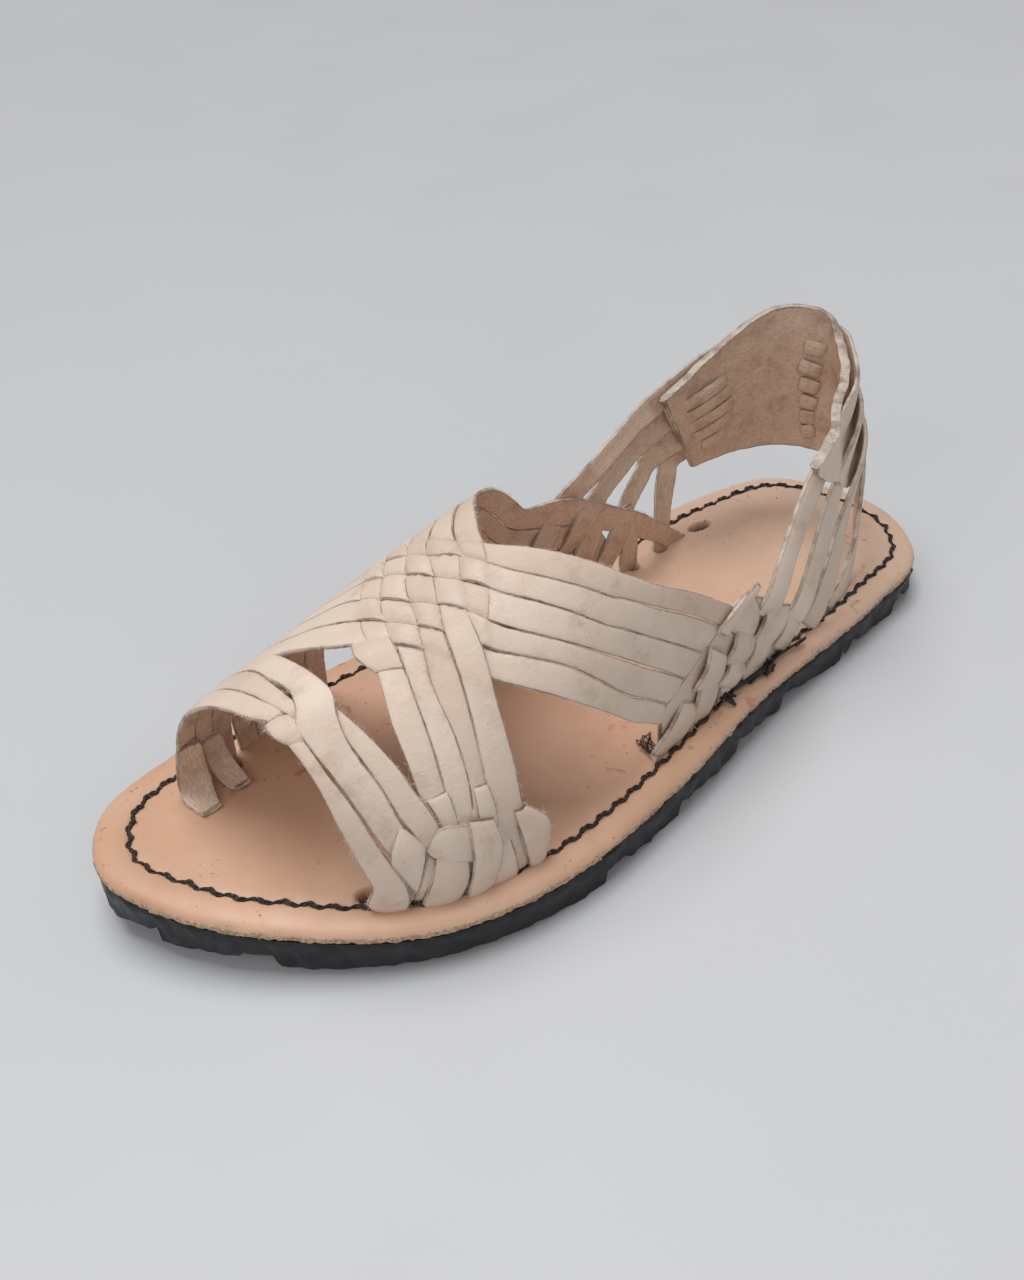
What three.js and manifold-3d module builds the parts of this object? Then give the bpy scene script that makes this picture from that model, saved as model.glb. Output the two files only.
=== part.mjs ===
// Woven huarache sandal, left shoe. Millimetres, +Z up, toe towards +X, outer (little-toe) side towards +Y.
// Inside this file the shoe's own frame has x = 0 at the back of the heel, and the group at the end moves
// the middle of the sole's outline to the origin. Every curved piece is worked out from one of four
// functions: the sole's outline, the sole's lift off the floor, the last and the wall round the heel.
import * as THREE from 'three';
import { mergeVertices } from 'three/addons/utils/BufferGeometryUtils.js';
import Module from 'manifold-3d';

const wasm = await Module();
wasm.setup();

// ---------------------------------------------------------------- driving dimensions
const LENGTH = 290; // sole, heel to toe
const BALL_WIDTH = 112; // sole, at its widest
const RUBBER = 10; // rubber sole, lugs included
const LUG = 4.5; // depth of the tread's lugs
const LEATHER = 4.7; // footbed
const GAP = 0.3; // between pieces that touch
const SLOT_ROOM = 1.5; // at each end of a slot in the footbed, past the strips in it
const STRIP = 7.5; // width of one strip of the upper
const WALL = 2; // thickness of a strip, or of the woven wall
const COUNTER_WALL = 2.2; // heel counter leather
const COUNTER_ROOM = 1; // between the counter and the strips round it
const TOE_SPRING = 6; // lift of the sole at the toe tip
const ARCH_LIFT = 1.6; // lift under the waist
const HEEL_LIFT = 1.2; // lift at the very back of the heel
const INSTEP_HEIGHT = 68; // ridge of the last above the footbed, at the back of the instep panel
const COIN_RADIUS = 7.4; // one round lug
const COIN_PITCH = 11.5; // from lug to lug along a row
const ROW_PITCH = 15.5; // from row to row
const ROW_ANGLE = THREE.MathUtils.degToRad(-22); // rows to the length of the sole
const FOOTBED = RUBBER + GAP + LEATHER; // height of the footbed's top where the sole lies flat

// Outline of the sole, as shares of LENGTH and BALL_WIDTH. Rows run up the outer side from the heel's
// back to the toe tip, then down the inner side.
const OUTLINE = [
  { along: 0.0, across: 0.07 }, // back of the heel
  { along: 0.05, across: 0.305 },
  { along: 0.16, across: 0.375 },
  { along: 0.34, across: 0.422 },
  { along: 0.52, across: 0.508 },
  { along: 0.68, across: 0.545 }, // outer side of the ball
  { along: 0.8, across: 0.475 },
  { along: 0.9, across: 0.29 },
  { along: 0.972, across: 0.07 },
  { along: 1.0, across: -0.135 }, // toe tip, drawn to the inner side
  { along: 0.965, across: -0.325 },
  { along: 0.88, across: -0.42 },
  { along: 0.7, across: -0.455 }, // inner side of the ball
  { along: 0.5, across: -0.405 },
  { along: 0.32, across: -0.375 }, // waist
  { along: 0.16, across: -0.372 },
  { along: 0.04, across: -0.285 },
];
const TOE_ROW = 9; // the row of OUTLINE that is the toe tip

// Sections of the last. x from the heel's back, the y of the outer and inner foot of the wall, the y of
// the ridge, and the ridge's height above the footbed as a share of INSTEP_HEIGHT.
const LAST = [
  { x: 60, outer: 33, inner: -26, ridge: 4, height: 1.42 },
  { x: 95, outer: 40, inner: -25, ridge: 6, height: 1.35 },
  { x: 120, outer: 43, inner: -27, ridge: 5, height: 1.26 },
  { x: 145, outer: 46, inner: -31, ridge: 3, height: 1.13 },
  { x: 165, outer: 50, inner: -35, ridge: 2, height: 1.0 },
  { x: 185, outer: 53, inner: -38, ridge: 2, height: 0.9 },
  { x: 205, outer: 53, inner: -40, ridge: 2, height: 0.79 },
  { x: 225, outer: 48, inner: -38, ridge: 1, height: 0.7 },
  { x: 245, outer: 36, inner: -33, ridge: -3, height: 0.625 },
  { x: 265, outer: 20, inner: -27, ridge: -6, height: 0.5 },
  { x: 285, outer: 2, inner: -22, ridge: -10, height: 0.3 },
];
const SECTION_POWER = 2.25; // 2 is a round section, more is boxier

// Routes of the bands on the last: x of the front and back edge at each girth angle, where 0 is the outer
// foot, 90 the ridge and 180 the inner foot.
const TOE_BAND = [
  { front: 242, frontGirth: 0, back: 217, backGirth: 0 },
  { front: 243, frontGirth: 22, back: 226, backGirth: 26 },
  { front: 245, frontGirth: 50, back: 230, backGirth: 57 },
  { front: 245, frontGirth: 74, back: 232, backGirth: 76 },
  { front: 251, frontGirth: 96, back: 231, backGirth: 96 },
  { front: 256, frontGirth: 128, back: 234, backGirth: 127 },
  { front: 258, frontGirth: 155, back: 239, backGirth: 155 },
  { front: 257, frontGirth: 180, back: 240, backGirth: 180 },
];
const FRONT_CROSS_BAND = [
  { front: 228, frontGirth: 0, back: 199, backGirth: 0 },
  { front: 226, frontGirth: 30, back: 203, backGirth: 21 },
  { front: 224, frontGirth: 58, back: 198, backGirth: 52 },
  { front: 218, frontGirth: 84, back: 181, backGirth: 82 },
  { front: 200, frontGirth: 114, back: 166, backGirth: 111 },
  { front: 174, frontGirth: 145, back: 140, backGirth: 148 },
  { front: 150, frontGirth: 163, back: 103, backGirth: 165 },
  { front: 130, frontGirth: 180, back: 63, backGirth: 180 },
];
const BACK_CROSS_BAND = [
  { front: 151, frontGirth: 0, back: 104, backGirth: 0 },
  { front: 167, frontGirth: 19, back: 118, backGirth: 20 },
  { front: 184, frontGirth: 37, back: 140, backGirth: 37 },
  { front: 197, frontGirth: 54, back: 155, backGirth: 53 },
  { front: 206, frontGirth: 75, back: 176, backGirth: 86 },
  { front: 218, frontGirth: 90, back: 184, backGirth: 100 },
  { front: 232, frontGirth: 113, back: 196, backGirth: 125 },
  { front: 239, frontGirth: 150, back: 204, backGirth: 154 },
  { front: 238, frontGirth: 180, back: 205, backGirth: 180 },
];
const RAISED = 0.5; // a band that lies over another stands this much further out

// Plan of the wall round the heel, from the outer plait round the back to the inner plait.
const HEEL_PLAN = [
  { x: 150, y: 45 },
  { x: 121, y: 42 },
  { x: 96, y: 37 },
  { x: 72, y: 30.5 },
  { x: 49, y: 26.5 },
  { x: 25, y: 19 },
  { x: 11, y: 1 },
  { x: 11, y: -18 },
  { x: 24, y: -32 },
  { x: 50, y: -37 },
  { x: 78, y: -33 },
  { x: 104, y: -29 },
  { x: 130, y: -29 },
];
// Routes of the heel strips on that wall, from the top strip down. round runs from 0 at the first row of
// HEEL_PLAN to 1 at the last, z is the height of the strip's middle above the floor.
const HEEL_STRIPS = [
  { footRound: 0.04, footZ: 34, freeRound: 0.18, freeZ: 57, endRound: 0.82, endZ: 66, fanRound: 0.95, fanZ: 48 },
  { footRound: 0.05, footZ: 29, freeRound: 0.19, freeZ: 46, endRound: 0.81, endZ: 58, fanRound: 0.93, fanZ: 34 },
  { footRound: 0.07, footZ: 24, freeRound: 0.2, freeZ: 36, endRound: 0.8, endZ: 50, fanRound: 0.9, fanZ: 24 },
  { footRound: 0.1, footZ: 22, freeRound: 0.21, freeZ: 26, endRound: 0.78, endZ: 42, fanRound: 0.838, fanZ: 20 },
];
const BACK_TOP = 71; // height of the top heel strip's middle at the back
const BACK_PITCH = 9.5; // from strip to strip there
const BACK_NEAR = 0.33; // round where a strip has nearly risen to the back
const BACK_OUTER = 0.45; // round where its level run at the back begins
const BACK_INNER = 0.62; // and where that ends
// Heel counter, inside the strips, from its outer end round to its inner end: its upper and lower edge.
const COUNTER = [
  { upperRound: 0.275, upper: 70, lowerRound: 0.285, lower: 62 },
  { upperRound: 0.32, upper: 74.5, lowerRound: 0.34, lower: 52 },
  { upperRound: 0.4, upper: 76, lowerRound: 0.42, lower: 40 },
  { upperRound: 0.5, upper: 78.5, lowerRound: 0.5, lower: 36 },
  { upperRound: 0.56, upper: 82, lowerRound: 0.55, lower: 35 },
  { upperRound: 0.61, upper: 84.5, lowerRound: 0.6, lower: 35 },
  { upperRound: 0.69, upper: 81, lowerRound: 0.65, lower: 35 },
  { upperRound: 0.76, upper: 73, lowerRound: 0.71, lower: 35 },
  { upperRound: 0.83, upper: 69, lowerRound: 0.765, lower: 35 },
];
const HEEL_LEAN = 0.12; // how much the wall draws in for each millimetre of height
const LEAN_FROM = 60; // height at which the wall stands on HEEL_PLAN
// How far the worn heel is pressed in on its outer side, towards the inner side, at its full height.
const PRESSED = [
  { round: 0, inwards: 0 },
  { round: 0.16, inwards: 0 },
  { round: 0.2, inwards: 1 },
  { round: 0.27, inwards: 4 },
  { round: 0.35, inwards: 10 },
  { round: 0.42, inwards: 15 },
  { round: 0.47, inwards: 14.5 },
  { round: 0.52, inwards: 9 },
  { round: 0.56, inwards: 3 },
  { round: 0.6, inwards: 0 },
  { round: 1, inwards: 0 },
];
const PRESSED_FROM = 38; // height where that begins
const PRESSED_FULL = 80; // and where it is complete
const ROUND_SCALE = 330; // length of HEEL_PLAN, to even out a route's spacing

// ---------------------------------------------------------------- tables and curves

// Smooth value between the rows of a table: a cubic through the rows, with the slope of its neighbours.
function between(rows, place, name) {
  const last = rows.length - 1;
  return (at) => {
    let i = 0;
    while (i < last - 1 && at > rows[i + 1][place]) i++;
    const slope = (k) => {
      const a = rows[Math.max(k - 1, 0)];
      const b = rows[Math.min(k + 1, last)];
      return (b[name] - a[name]) / (b[place] - a[place]);
    };
    const step = rows[i + 1][place] - rows[i][place];
    const t = THREE.MathUtils.clamp((at - rows[i][place]) / step, 0, 1);
    const rise = t * t * (3 - 2 * t);
    const start = t * (1 - t) * (1 - t) * step * slope(i);
    const end = t * t * (1 - t) * step * slope(i + 1);
    return rows[i][name] * (1 - rise) + rows[i + 1][name] * rise + start - end;
  };
}

// The same, for a table whose rows are evenly spaced along a route from 0 to 1.
function along(rows, name) {
  const spaced = rows.map((row, i) => ({ place: i / (rows.length - 1), value: row[name] }));
  return between(spaced, 'place', 'value');
}

const outline = new THREE.CatmullRomCurve3(
  OUTLINE.map((row) => new THREE.Vector3(row.along * LENGTH, row.across * BALL_WIDTH, 0)),
  true,
  'centripetal',
);
const TOE_AT = TOE_ROW / OUTLINE.length;

// y of the sole's edge at x, on the outer side (from the heel's back up to the toe) or on the inner side.
function edge(x, outer) {
  let low = outer ? 0 : 1;
  let high = TOE_AT;
  for (let i = 0; i < 40; i++) {
    const middle = (low + high) / 2;
    if (outline.getPoint(middle).x < x) low = middle;
    else high = middle;
  }
  return outline.getPoint((low + high) / 2).y;
}

// Lift of the sole off the floor: flat under heel and ball, with a low arch and a sprung toe.
function lift(x) {
  const share = x / LENGTH;
  const toe = THREE.MathUtils.clamp((share - 0.77) / 0.23, 0, 1);
  const waist = THREE.MathUtils.clamp((share - 0.28) / 0.27, 0, 1);
  const heel = THREE.MathUtils.clamp((0.05 - share) / 0.05, 0, 1);
  return TOE_SPRING * toe ** 2 + ARCH_LIFT * Math.sin(Math.PI * waist) ** 2 + HEEL_LIFT * heel ** 2;
}

// ---------------------------------------------------------------- surfaces

const lastOuter = between(LAST, 'x', 'outer');
const lastInner = between(LAST, 'x', 'inner');
const lastRidge = between(LAST, 'x', 'ridge');
const lastHeight = between(LAST, 'x', 'height');
const DIVE = 0.3; // millimetres of depth for each degree past a foot of the wall

// The last: a rounded section at each x. Past its two feet the wall goes straight down into the footbed.
function last(x, girth) {
  const turn = THREE.MathUtils.degToRad(THREE.MathUtils.clamp(girth, 0, 180));
  const foot = turn < Math.PI / 2 ? lastOuter(x) : lastInner(x);
  const spread = Math.abs(Math.cos(turn)) ** (2 / SECTION_POWER);
  const rise = Math.sin(turn) ** (2 / SECTION_POWER);
  const dive = DIVE * (Math.max(-girth, 0) + Math.max(girth - 180, 0));
  const y = lastRidge(x) + (foot - lastRidge(x)) * spread;
  const z = FOOTBED + lift(x) + INSTEP_HEIGHT * lastHeight(x) * rise - dive;
  return new THREE.Vector3(x, y, z);
}

const heelPlan = new THREE.CatmullRomCurve3(
  HEEL_PLAN.map((row) => new THREE.Vector3(row.x, row.y, 0)),
  false,
  'centripetal',
);

const pressedIn = between(PRESSED, 'round', 'inwards');

// The wall round the heel: round runs from 0 at the outer plait to 1 at the inner plait.
function heelWall(round, z) {
  const place = THREE.MathUtils.clamp(round, 0, 1);
  const at = heelPlan.getPoint(place);
  const run = heelPlan.getTangent(THREE.MathUtils.clamp(round, 0.001, 0.999));
  const draw = HEEL_LEAN * (z - LEAN_FROM) * Math.sin(Math.PI * round);
  const press = pressedIn(place) * THREE.MathUtils.smoothstep(z, PRESSED_FROM, PRESSED_FULL);
  return new THREE.Vector3(at.x + run.y * draw, at.y - run.x * draw - press, z);
}

// Outward unit normal of a surface of two parameters.
function normalOf(surface, a, b, outward) {
  const d = 0.02;
  const da = surface(a + d, b).sub(surface(a - d, b));
  const db = surface(a, b + d).sub(surface(a, b - d));
  const normal = da.cross(db).normalize();
  return outward(surface(a, b)).dot(normal) < 0 ? normal.negate() : normal;
}

const awayFromRidgeLine = (p) => new THREE.Vector3(0, p.y - lastRidge(p.x), Math.max(p.z - FOOTBED, 1));
const awayFromHeelMiddle = (p) => new THREE.Vector3(p.x < 58 ? p.x - 58 : 0, p.y + 5 - p.x * 0.08, 0);

// ---------------------------------------------------------------- closed solids

// Closed solid between two grids of points of the same size.
function solidBetween(front, back) {
  const rows = front.length;
  const columns = front[0].length;
  const points = [...front.flat(), ...back.flat()];
  const at = (side, i, j) => side * rows * columns + i * columns + j;
  const index = [];
  const quad = (a, b, c, d) => index.push(a, b, c, a, c, d);
  for (let i = 0; i + 1 < rows; i++) {
    for (let j = 0; j + 1 < columns; j++) {
      quad(at(0, i, j), at(0, i + 1, j), at(0, i + 1, j + 1), at(0, i, j + 1));
      quad(at(1, i, j + 1), at(1, i + 1, j + 1), at(1, i + 1, j), at(1, i, j));
    }
  }
  for (let i = 0; i + 1 < rows; i++) {
    quad(at(1, i, 0), at(1, i + 1, 0), at(0, i + 1, 0), at(0, i, 0));
    quad(at(0, i, columns - 1), at(0, i + 1, columns - 1), at(1, i + 1, columns - 1), at(1, i, columns - 1));
  }
  for (let j = 0; j + 1 < columns; j++) {
    quad(at(0, 0, j), at(0, 0, j + 1), at(1, 0, j + 1), at(1, 0, j));
    quad(at(1, rows - 1, j), at(1, rows - 1, j + 1), at(0, rows - 1, j + 1), at(0, rows - 1, j));
  }
  return solid(points, index);
}

// Manifold solid from points and triangles: equal points are merged, flat triangles dropped, faces turned out.
function solid(points, index) {
  const geometry = new THREE.BufferGeometry().setFromPoints(points);
  geometry.setIndex(index);
  const merged = mergeVertices(geometry, 1e-4);
  const corners = merged.getIndex().array;
  const position = merged.getAttribute('position');
  const kept = [];
  let volume = 0;
  for (let i = 0; i < corners.length; i += 3) {
    const [a, b, c] = corners.slice(i, i + 3);
    if (a === b || b === c || c === a) continue;
    kept.push(a, b, c);
    const [p, q, r] = [a, b, c].map((k) => new THREE.Vector3().fromBufferAttribute(position, k));
    volume += p.dot(q.cross(r));
  }
  if (volume < 0) kept.reverse();
  return new wasm.Manifold(
    new wasm.Mesh({ numProp: 3, vertProperties: position.array, triVerts: new Uint32Array(kept) }),
  );
}

function named(name, body, look) {
  const { vertProperties, triVerts } = body.getMesh();
  const geometry = new THREE.BufferGeometry();
  geometry.setAttribute('position', new THREE.BufferAttribute(vertProperties, 3));
  geometry.setIndex(new THREE.BufferAttribute(triVerts, 1));
  geometry.computeVertexNormals();
  const mesh = new THREE.Mesh(geometry, new THREE.MeshStandardMaterial(look));
  mesh.name = name;
  return mesh;
}

// A sheet on a surface: front and back edge routes, a wall that straddles the surface.
function sheet(surface, outward, first, second, { steps, across, wall, out = 0 }) {
  const outside = [];
  const inside = [];
  for (let i = 0; i <= steps; i++) {
    const from = first(i / steps);
    const to = second(i / steps);
    const rowOut = [];
    const rowIn = [];
    for (let j = 0; j <= across; j++) {
      const a = THREE.MathUtils.lerp(from[0], to[0], j / across);
      const b = THREE.MathUtils.lerp(from[1], to[1], j / across);
      const normal = normalOf(surface, a, b, outward);
      rowOut.push(surface(a, b).addScaledVector(normal, out + wall / 2));
      rowIn.push(surface(a, b).addScaledVector(normal, out - wall / 2));
    }
    outside.push(rowOut);
    inside.push(rowIn);
  }
  return solidBetween(outside, inside);
}

// ---------------------------------------------------------------- sole

// Slab with the sole's outline between two heights above the lifted floor.
function slab(bottom, top) {
  const stations = 42;
  const across = 4;
  const grid = (height) =>
    Array.from({ length: stations + 1 }, (_, i) => {
      const x = (LENGTH / 2) * (1 - Math.cos((Math.PI * i) / stations));
      const ends = [edge(x, true), edge(x, false)];
      const middle = (edge(x, true) + edge(x, false)) / 2;
      const isTip = i === 0 || i === stations;
      return Array.from({ length: across + 1 }, (_, j) => {
        const y = isTip ? middle : THREE.MathUtils.lerp(ends[0], ends[1], j / across);
        return new THREE.Vector3(x, y, lift(x) + height);
      });
    });
  return solidBetween(grid(top), grid(bottom));
}

// One row of the tread: a string of round lugs that run into each other.
function lugRow(offset, shift) {
  const reach = 200;
  const direction = new THREE.Vector3(Math.cos(ROW_ANGLE), Math.sin(ROW_ANGLE), 0);
  const side = new THREE.Vector3(-direction.y, direction.x, 0);
  const middle = new THREE.Vector3(LENGTH / 2, 0, 0).addScaledVector(side, offset);
  const lower = [];
  const upper = [];
  const coins = Math.round((2 * reach) / COIN_PITCH);
  for (let k = 0; k < coins; k++) {
    for (const share of [-0.5, -0.2, 0.2]) {
      const run = (k + share) * COIN_PITCH + shift - reach;
      const half = Math.sqrt(COIN_RADIUS ** 2 - (share * COIN_PITCH) ** 2);
      const edges = [half, -half].map((w) =>
        middle.clone().addScaledVector(direction, run).addScaledVector(side, w),
      );
      lower.push(edges.map((p) => p.clone().setZ(lift(p.x))));
      upper.push(edges.map((p) => p.clone().setZ(lift(p.x) + LUG + 1)));
    }
  }
  return solidBetween(upper, lower);
}

function outsole() {
  const rows = 11;
  let lugs = null;
  for (let k = 0; k < rows; k++) {
    const row = lugRow((k - (rows - 1) / 2) * ROW_PITCH, (k % 2) * (COIN_PITCH / 2));
    lugs = lugs ? lugs.add(row) : row;
  }
  return slab(LUG, RUBBER).add(lugs.intersect(slab(-1, RUBBER - 1)));
}

// ---------------------------------------------------------------- upper

const DIVE_END = (LEATHER - GAP) / DIVE; // degrees past a foot that end just above the rubber

// A band on the last between its two edge routes, with its ends let down into the footbed.
function band(rows, { wall = WALL, out = 0, dive = DIVE_END, widen = 0 }) {
  const front = along(rows, 'front');
  const back = along(rows, 'back');
  const frontGirth = along(rows, 'frontGirth');
  const backGirth = along(rows, 'backGirth');
  const tail = 0.04; // share of the steps spent below each foot
  const route = (x, girth, shift) => (t) => {
    const at = THREE.MathUtils.clamp((t - tail) / (1 - 2 * tail), 0, 1);
    const below = Math.max(tail - t, 0) / tail;
    const beyond = Math.max(t - 1 + tail, 0) / tail;
    return [x(at) + shift, girth(at) + dive * (beyond - below)];
  };
  const steps = 44;
  const edges = [route(front, frontGirth, widen), route(back, backGirth, -widen)];
  return sheet(last, awayFromRidgeLine, edges[0], edges[1], { steps, across: 3, wall, out });
}

// One heel strip, from the outer plait round the outside of the counter to the inner plait.
function heelStrip(row, order) {
  const back = BACK_TOP - order * BACK_PITCH;
  const route = new THREE.CatmullRomCurve3(
    [
      [row.footRound, row.footZ],
      [row.freeRound, row.freeZ],
      [BACK_NEAR, (row.freeZ + 2 * back) / 3],
      [BACK_OUTER, back],
      [BACK_INNER, back],
      [row.endRound, row.endZ],
      [row.fanRound, row.fanZ],
    ].map(([round, z]) => new THREE.Vector3(round * ROUND_SCALE, z, 0)),
    false,
    'centripetal',
  );
  return strip((t) => {
    const at = route.getPoint(t);
    return [at.x / ROUND_SCALE, at.y];
  });
}

// A strip of even width whose middle follows a route on the heel wall.
function strip(route) {
  const steps = 34;
  const outside = [];
  const inside = [];
  const middle = (t) => heelWall(...route(THREE.MathUtils.clamp(t, 0, 1)));
  for (let i = 0; i <= steps; i++) {
    const t = i / steps;
    const run = middle(t + 0.01).sub(middle(t - 0.01)).normalize();
    const normal = normalOf(heelWall, ...route(t), awayFromHeelMiddle);
    const side = normal.clone().cross(run).normalize();
    const edges = [STRIP / 2, -STRIP / 2].map((w) => middle(t).addScaledVector(side, w));
    outside.push(edges.map((p) => p.clone().addScaledVector(normal, WALL / 2)));
    inside.push(edges.map((p) => p.clone().addScaledVector(normal, -WALL / 2)));
  }
  return solidBetween(outside, inside);
}

function upper() {
  let body = band(BACK_CROSS_BAND, {});
  body = body.add(band(FRONT_CROSS_BAND, { out: RAISED }));
  body = body.add(band(TOE_BAND, { out: RAISED / 2 }));
  HEEL_STRIPS.forEach((row, order) => {
    body = body.add(heelStrip(row, order));
  });
  return body;
}

// What is cut out of the footbed for the strips: the same bands, thicker by a gap and longer in the slot.
function slots() {
  const larger = { wall: WALL + 2 * GAP, widen: SLOT_ROOM, dive: (LEATHER + 2) / DIVE };
  let body = band(BACK_CROSS_BAND, larger);
  body = body.add(band(FRONT_CROSS_BAND, { ...larger, out: RAISED }));
  return body.add(band(TOE_BAND, { ...larger, out: RAISED / 2 }));
}

// ---------------------------------------------------------------- footbed and counter

function insole() {
  return slab(RUBBER + GAP, FOOTBED).subtract(slots());
}

function heelCounter() {
  const edgeRoute = (round, height) => {
    const at = along(COUNTER, round);
    const z = along(COUNTER, height);
    return (t) => [at(t), z(t)];
  };
  const upperEdge = edgeRoute('upperRound', 'upper');
  const lowerEdge = edgeRoute('lowerRound', 'lower');
  const inside = -(WALL / 2 + COUNTER_ROOM + COUNTER_WALL / 2);
  const size = { steps: 32, across: 3, wall: COUNTER_WALL, out: inside };
  return sheet(heelWall, awayFromHeelMiddle, upperEdge, lowerEdge, size);
}

// ---------------------------------------------------------------- the shoe

const shoe = new THREE.Group();
const rim = new THREE.Box3().setFromPoints(outline.getPoints(400));
const middle = rim.getCenter(new THREE.Vector3());
shoe.position.set(-middle.x, -middle.y, 0);
shoe.add(named('outsole', outsole(), { color: 0x1b1d22, roughness: 0.62, metalness: 0 }));
shoe.add(named('insole', insole(), { color: 0xd29a72, roughness: 0.6, metalness: 0 }));
shoe.add(named('upper', upper(), { color: 0xd9bda3, roughness: 0.65, metalness: 0 }));
shoe.add(named('heel_counter', heelCounter(), { color: 0xc69f82, roughness: 0.8, metalness: 0 }));

export default shoe;
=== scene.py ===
# %% [markdown]
# # A woven sandal, built round its CAD frame
# The sandal is a sheet of leather stitched to ribbed rubber, with some twenty cut strips woven over it.
# The CAD model gives the true sizes and stays the fixed frame. Here every visible piece is rebuilt as a
# finer surface in the same place. Points are worked out in millimetres in the shoe's own frame, where
# x runs from the back of the heel to the toe, y to the outer side and z up from the floor.

import bmesh
import bpy
import numpy as np
from mathutils import Matrix, Vector


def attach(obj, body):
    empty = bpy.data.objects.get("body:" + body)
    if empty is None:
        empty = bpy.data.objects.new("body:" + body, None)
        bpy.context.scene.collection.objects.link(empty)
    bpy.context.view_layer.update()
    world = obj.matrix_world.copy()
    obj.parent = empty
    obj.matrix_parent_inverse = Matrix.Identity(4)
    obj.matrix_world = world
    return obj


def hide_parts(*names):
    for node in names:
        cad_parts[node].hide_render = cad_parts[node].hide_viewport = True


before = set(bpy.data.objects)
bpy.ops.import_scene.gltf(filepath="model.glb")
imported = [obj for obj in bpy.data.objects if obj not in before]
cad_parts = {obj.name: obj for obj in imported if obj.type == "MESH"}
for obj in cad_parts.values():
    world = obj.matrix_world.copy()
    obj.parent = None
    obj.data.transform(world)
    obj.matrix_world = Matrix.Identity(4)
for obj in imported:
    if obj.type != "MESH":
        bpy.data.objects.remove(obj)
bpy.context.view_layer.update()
print("CAD nodes:", sorted(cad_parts))

# %% [markdown]
# The camera comes first, because it settles which sides have to bear a close look. It stands in front of
# the toe on the outer side, looks down at about 43 degrees and is rolled by a few degrees, as a picture
# taken by hand is. A camera looks along its own -Z, so its matrix is built from three axes.

# %% Camera
CAMERA_AT = Vector((0.1871, 0.2095, 0.2543))
CAMERA_AIM = Vector((0.0145, -0.0115, 0.030))
CAMERA_ROLL = np.radians(-2.8)
CAMERA_LENS = 34.0

look = (CAMERA_AIM - CAMERA_AT).normalized()
level = look.cross(Vector((0, 0, 1))).normalized()
upright = level.cross(look)
right = level * np.cos(CAMERA_ROLL) + upright * np.sin(CAMERA_ROLL)
above = right.cross(look)
camera = bpy.data.objects.new("camera", bpy.data.cameras.new("camera"))
camera.data.lens = CAMERA_LENS
camera.data.sensor_width = 36.0
camera.data.clip_start = 0.01
camera.matrix_world = Matrix.Translation(CAMERA_AT) @ Matrix((right, above, -look)).transposed().to_4x4()
bpy.context.scene.collection.objects.link(camera)
bpy.context.scene.camera = camera
print("camera looks down by", round(float(np.degrees(-np.arcsin(look.z))), 1), "degrees")

# %% [markdown]
# The main light is a very soft sun, nearly overhead and a little behind the shoe, so the floor is lit
# evenly far out. Weaker sheets of light stand at the camera's side, the toe and the heel, in an even pale
# surround. Area lights give the soft shadow edges of a room by a window.

# %% Lights and surround
SURROUND, SURROUND_STRENGTH = (0.80, 0.82, 0.85, 1.0), 0.21
SUN_WAY, SUN_STRENGTH, SUN_ANGLE = (0.05, 0.30, -0.96), 2.3, 0.72
LIT_POINT = Vector((0.0, 0.0, 0.02))
SHEETS = {
    # where it stands and how wide it is, in metres, and its power in watts
    "from_side": ((0.35, 0.95, 0.75), 0.9, 2.2),
    "from_toe": ((0.85, 0.10, 0.60), 0.6, 2.0),
    "from_heel": ((-0.75, 0.55, 0.60), 0.6, 0.8),
}


def add_light(name, kind, way):
    """A light that shines along the direction way."""
    light = bpy.data.objects.new(name, bpy.data.lights.new(name, kind))
    light.rotation_euler = Vector(way).to_track_quat("-Z", "Y").to_euler()
    bpy.context.scene.collection.objects.link(light)
    return light


overhead = add_light("overhead", "SUN", SUN_WAY)
overhead.data.energy, overhead.data.angle = SUN_STRENGTH, SUN_ANGLE
for name, (at, size, power) in SHEETS.items():
    sheet = add_light(name, "AREA", LIT_POINT - Vector(at))
    sheet.location = at
    sheet.data.size, sheet.data.energy = size, power
world = bpy.data.worlds.new("surround")
world.use_nodes = True
world.node_tree.nodes["Background"].inputs["Color"].default_value = SURROUND
world.node_tree.nodes["Background"].inputs["Strength"].default_value = SURROUND_STRENGTH
bpy.context.scene.world = world
bpy.context.scene.view_settings.view_transform = "Standard"
print(len(SHEETS) + 1, "soft lights and an even surround")

# %% [markdown]
# Every smooth table below is read with one cubic: it goes through the rows and
# takes its slope from the neighbours. Working on whole arrays keeps it fast.

# %% Smooth tables
MM = 0.001
WAVES = 9


def smooth(places, values, at):
    """Cubic Hermite curve through (places, values), with the slope of the neighbouring rows."""
    places, values = np.asarray(places, float), np.asarray(values, float)
    at = np.clip(at, places[0], places[-1])
    ahead = np.minimum(np.arange(len(places)) + 1, len(places) - 1)
    behind = np.maximum(np.arange(len(places)) - 1, 0)
    run = (places[ahead] - places[behind]).reshape((-1,) + (1,) * (values.ndim - 1))
    slope = (values[ahead] - values[behind]) / run
    row = np.clip(np.searchsorted(places, at, side="right") - 1, 0, len(places) - 2)
    step = places[row + 1] - places[row]
    t = (at - places[row]) / step
    if values.ndim > 1:
        t, step = t[..., None], step[..., None]
    rise = t * t * (3 - 2 * t)
    start = t * (1 - t) ** 2 * step * slope[row]
    end = t * t * (1 - t) * step * slope[row + 1]
    return values[row] * (1 - rise) + values[row + 1] * rise + start - end


def ramp(value, start, end):
    """0 before start, 1 after end, and a soft S between."""
    t = np.clip((value - start) / (end - start), 0, 1)
    return t * t * (3 - 2 * t)


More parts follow.
